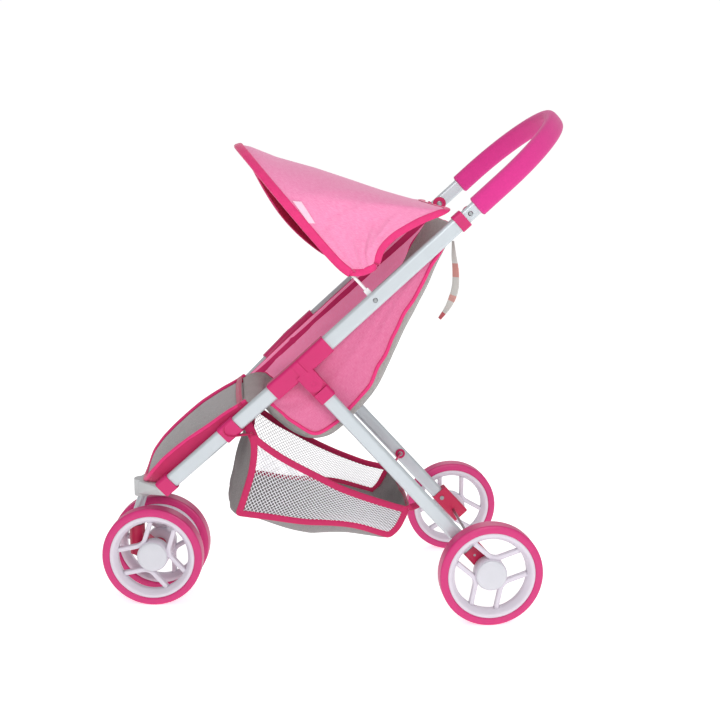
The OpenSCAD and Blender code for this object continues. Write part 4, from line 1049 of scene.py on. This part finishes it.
def round_tab(name, centre, across, body, slot_nodes, radius):
    """A round cloth tab with a bound edge and a metal eyelet: concentric turned profiles, the cloth a
    shallow disc, the tape a ring and the eyelet a small rolled collar."""
    disc = turned(name, centre, across,
                  [(0, -0.5), (radius - 1, -0.5), (radius, 0), (radius - 1, 0.5), (0, 0.6)], 48)
    place(name, disc, body, "crimson_tape", slot_nodes)
    a = np.linspace(0, 2 * math.pi, 12, endpoint=False)
    ring = np.stack([radius - 0.6 + 1.7 * np.cos(a), 0.95 * np.sin(a)], 1)
    place(name + "_tape", turned(name, centre, across, ring, 48), body, "crimson_tape")
    eye = np.stack([2.6 + 1.1 * np.cos(a), 0.5 + 0.8 * np.sin(a)], 1)
    place(name + "_eyelet", turned(name, centre, across, eye, 32), body, "zinc_steel")


def tabs():
    """Tabs at the handle's rivets and on the rear legs."""
    for side, word in ((1, "left"), (-1, "right")):
        across = np.array([-side, 0, 0.0])
        at = upper(side * (TUBE_X - 4.9), 276, 0)
        round_tab("handle_tab_" + word, at, across, "frame", (), 8.0)
        inner = unit(np.array([-side * math.cos(LEG_LEAN), math.sin(LEG_LEAN) * 0.6,
                               -math.sin(LEG_LEAN) * 0.7]))
        round_tab("leg_tab_" + word, leg_point(LEG_LONG_TO_STRAP, side, -6.3), inner, "rear_legs",
                  ["basket_tabs"] if side > 0 else (), 6.0)


def care_tag():
    """A narrow blank tape that hangs behind the seat's top, twisting a little as it falls: its width
    turns about its own line."""
    line = curve([(242, -18), (232, -31), (220, -48), (205, -64), (184, -75), (166, -79)], 60)
    path = upper(74, line[:, 0], line[:, 1])
    turn = np.radians(24 + 26 * np.sin(np.linspace(0, 3.1, 60)))
    wide = np.stack([np.cos(turn), np.sin(turn) * 0.8, -np.sin(turn) * 0.6], -1)
    narrow = np.interp(np.arange(60), [0, 12, 42, 59], [0.55, 0.9, 0.95, 0.6])
    mesh = sweep("care_tag", path, wide, oval(11.5, 0.7, 12, 4), 0.3,
                 scale=np.stack([narrow, np.ones(60)], 1))
    place("care_tag_tape", mesh, "frame", "satin_tape", ["care_tag"])


# Stage -----------------------------------------------------------------------------------------


def soft_light(name, size, power, spot, at):
    """A square area light at a spot, turned to look at a place."""
    data = bpy.data.lights.new(name, "AREA")
    data.shape, data.size, data.energy = "SQUARE", size, power
    lamp = bpy.data.objects.new(name, data)
    bpy.context.scene.collection.objects.link(lamp)
    lamp.location = spot
    lamp.rotation_euler = (Vector(at) - Vector(spot)).to_track_quat("-Z", "Y").to_euler()


def studio(light):
    """Camera, soft lights, a bright surrounding and a plain pale floor. The surrounding is white to
    the camera, and dimmer as a light."""
    scene = bpy.context.scene
    white, ambient = 1.02, 0.5
    data = bpy.data.cameras.new("camera")
    data.lens, data.sensor_width = 58.43, 36.0
    camera = bpy.data.objects.new("camera", data)
    scene.collection.objects.link(camera)
    camera.location = (1.49435, -0.11456, 0.59589)
    ahead = Vector((-0.9773, 0.1015, -0.186)).normalized()
    right = ahead.cross(Vector((0, 0, 1))).normalized()
    turn = Matrix((right, right.cross(ahead), -ahead)).transposed()
    camera.rotation_euler = turn.to_euler()
    scene.camera = camera
    world = bpy.data.worlds.new("studio")
    world.use_nodes = True
    tree = world.node_tree
    seen = add(tree, "LightPath").outputs["Is Camera Ray"]
    strength = add(tree, "MapRange", {"Value": seen, "To Min": ambient * light, "To Max": white})
    background = tree.nodes["Background"]
    background.inputs["Color"].default_value = (1, 1, 1, 1)
    tree.links.new(strength.outputs["Result"], background.inputs["Strength"])
    scene.world = world
    middle = (0, -0.03, 0.3)
    soft_light("key_light", 0.8, 15 * light, (1.85, 0.3, 1.15), middle)
    soft_light("back_light", 1.2, 7 * light, (-1.6, 0.6, 1.3), middle)
    soft_light("top_light", 1.2, 4.2 * light, (0.2, -0.2, 2.1), middle)
    reach = np.linspace(-6, 6, 9)
    x, y = np.meshgrid(reach, reach, indexing="ij")
    mesh = sheet_mesh("floor", np.stack([x, y, np.zeros_like(x)], -1) / MM)
    floor = bpy.data.objects.new("floor", mesh)
    mesh.materials.append(FINISHES["studio_floor"])
    scene.collection.objects.link(floor)
    scene.view_settings.view_transform = "Standard"


# Add-on ----------------------------------------------------------------------------------------


def hue(name, default, description):
    """A colour property, whose default comes from a hex code."""
    return bpy.props.FloatVectorProperty(name=name, description=description, size=4, min=0, max=1,
                                         subtype="COLOR", default=linear(default))


class StrollerSettings(bpy.types.PropertyGroup):
    """Colours and sizes of the stroller's visible surfaces."""

    tube: hue("Tubes", "#C0C7CC", "Lacquer on the frame's tubes")
    moulding: hue("Joints", "#C61065", "Plastic of the joints, clips and tube ends")
    bracket: hue("Brackets", "#BC0C46", "Plastic of the axle brackets and the caster's block")
    rim: hue("Rims", "#D6CFDA", "Plastic of the wheels' rims")
    tyre: hue("Tyres", "#CC2573", "Solid tyres")
    foam: hue("Handle foam", "#D22C87", "Foam sleeve on the handle")
    binding: hue("Binding", "#DE2874", "Tape on the cloth's edges")
    foam_wide: bpy.props.FloatProperty(name="Foam width", description="Width of the handle's foam",
                                       default=0.026, min=0.02, max=0.027, unit="LENGTH")
    tape_wide: bpy.props.FloatProperty(name="Binding width", description="Width of the edge tape",
                                       default=0.0086, min=0.006, max=0.011, unit="LENGTH")
    net_pitch: bpy.props.FloatProperty(name="Net opening", description="Distance between the net's holes",
                                       default=0.005, min=0.004, max=0.01, unit="LENGTH")
    light: bpy.props.FloatProperty(name="Light", description="Strength of the studio's light",
                                   default=1.0, min=0.1, max=3.0, subtype="FACTOR")


class STROLLER_OT_finishes(bpy.types.Operator):
    """Make the stroller's finishes from the chosen colours"""

    bl_idname = "stroller.finishes"
    bl_label = "Finishes"
    bl_options = {"REGISTER", "UNDO"}

    def execute(self, context):
        make_finishes(context.scene.stroller)
        return {"FINISHED"}


class STROLLER_OT_frame(bpy.types.Operator):
    """Give the tubes, joints and metal parts their finishes, and round the mouldings' edges"""

    bl_idname = "stroller.frame"
    bl_label = "Frame"
    bl_options = {"REGISTER", "UNDO"}

    def execute(self, context):
        finish_frame()
        return {"FINISHED"}


class STROLLER_OT_wheels(bpy.types.Operator):
    """Build the four wheels with their tyres, rims and caps"""

    bl_idname = "stroller.wheels"
    bl_label = "Wheels"
    bl_options = {"REGISTER", "UNDO"}

    def execute(self, context):
        wheels()
        return {"FINISHED"}


class STROLLER_OT_grip(bpy.types.Operator):
    """Build the handle's foam sleeve"""

    bl_idname = "stroller.grip"
    bl_label = "Handle foam"
    bl_options = {"REGISTER", "UNDO"}

    def execute(self, context):
        handle_foam(context.scene.stroller)
        return {"FINISHED"}


class STROLLER_OT_hood(bpy.types.Operator):
    """Build the hood with its lining, binding and blank label"""

    bl_idname = "stroller.hood"
    bl_label = "Hood"
    bl_options = {"REGISTER", "UNDO"}

    def execute(self, context):
        hood(context.scene.stroller)
        return {"FINISHED"}


class STROLLER_OT_seat(bpy.types.Operator):
    """Build the seat's sides, its slung back and their bindings"""

    bl_idname = "stroller.seat"
    bl_label = "Seat"
    bl_options = {"REGISTER", "UNDO"}

    def execute(self, context):
        seat_sides()
        seat_back()
        return {"FINISHED"}


class STROLLER_OT_legrest(bpy.types.Operator):
    """Build the padded leg rest with its binding and seam"""

    bl_idname = "stroller.legrest"
    bl_label = "Leg rest"
    bl_options = {"REGISTER", "UNDO"}

    def execute(self, context):
        legrest()
        return {"FINISHED"}


class STROLLER_OT_basket(bpy.types.Operator):
    """Build the basket with its net sides, tape and straps"""

    bl_idname = "stroller.basket"
    bl_label = "Basket"
    bl_options = {"REGISTER", "UNDO"}

    def execute(self, context):
        basket(context.scene.stroller)
        return {"FINISHED"}


class STROLLER_OT_tabs(bpy.types.Operator):
    """Build the cloth tabs on the handle and legs, and the care tag"""

    bl_idname = "stroller.tabs"
    bl_label = "Tabs and care tag"
    bl_options = {"REGISTER", "UNDO"}

    def execute(self, context):
        tabs()
        care_tag()
        return {"FINISHED"}


class STROLLER_OT_stage(bpy.types.Operator):
    """Set up the camera, the soft light and the floor"""

    bl_idname = "stroller.stage"
    bl_label = "Stage"
    bl_options = {"REGISTER", "UNDO"}

    def execute(self, context):
        studio(context.scene.stroller.light)
        return {"FINISHED"}


OPERATORS = (STROLLER_OT_finishes, STROLLER_OT_stage, STROLLER_OT_frame, STROLLER_OT_wheels,
             STROLLER_OT_grip, STROLLER_OT_hood, STROLLER_OT_seat, STROLLER_OT_legrest,
             STROLLER_OT_basket, STROLLER_OT_tabs)


class STROLLER_PT_panel(bpy.types.Panel):
    """The sizes and colours, and a button for each group of pieces"""

    bl_idname = "STROLLER_PT_panel"
    bl_label = "Doll stroller"
    bl_space_type = "VIEW_3D"
    bl_region_type = "UI"
    bl_category = "Stroller"

    def draw(self, context):
        settings = context.scene.stroller
        for key in StrollerSettings.__annotations__:
            self.layout.prop(settings, key)
        for operator in OPERATORS:
            self.layout.operator(operator.bl_idname)


CLASSES = (StrollerSettings, *OPERATORS, STROLLER_PT_panel)


def register():
    for each in CLASSES:
        bpy.utils.register_class(each)
    bpy.types.Scene.stroller = bpy.props.PointerProperty(type=StrollerSettings)


def unregister():
    del bpy.types.Scene.stroller
    for each in reversed(CLASSES):
        bpy.utils.unregister_class(each)


def main():
    """Builds the whole stroller."""
    register()
    for operator in OPERATORS:
        group, _, piece = operator.bl_idname.partition(".")
        getattr(getattr(bpy.ops, group), piece)()


if __name__ == "__main__":
    main()
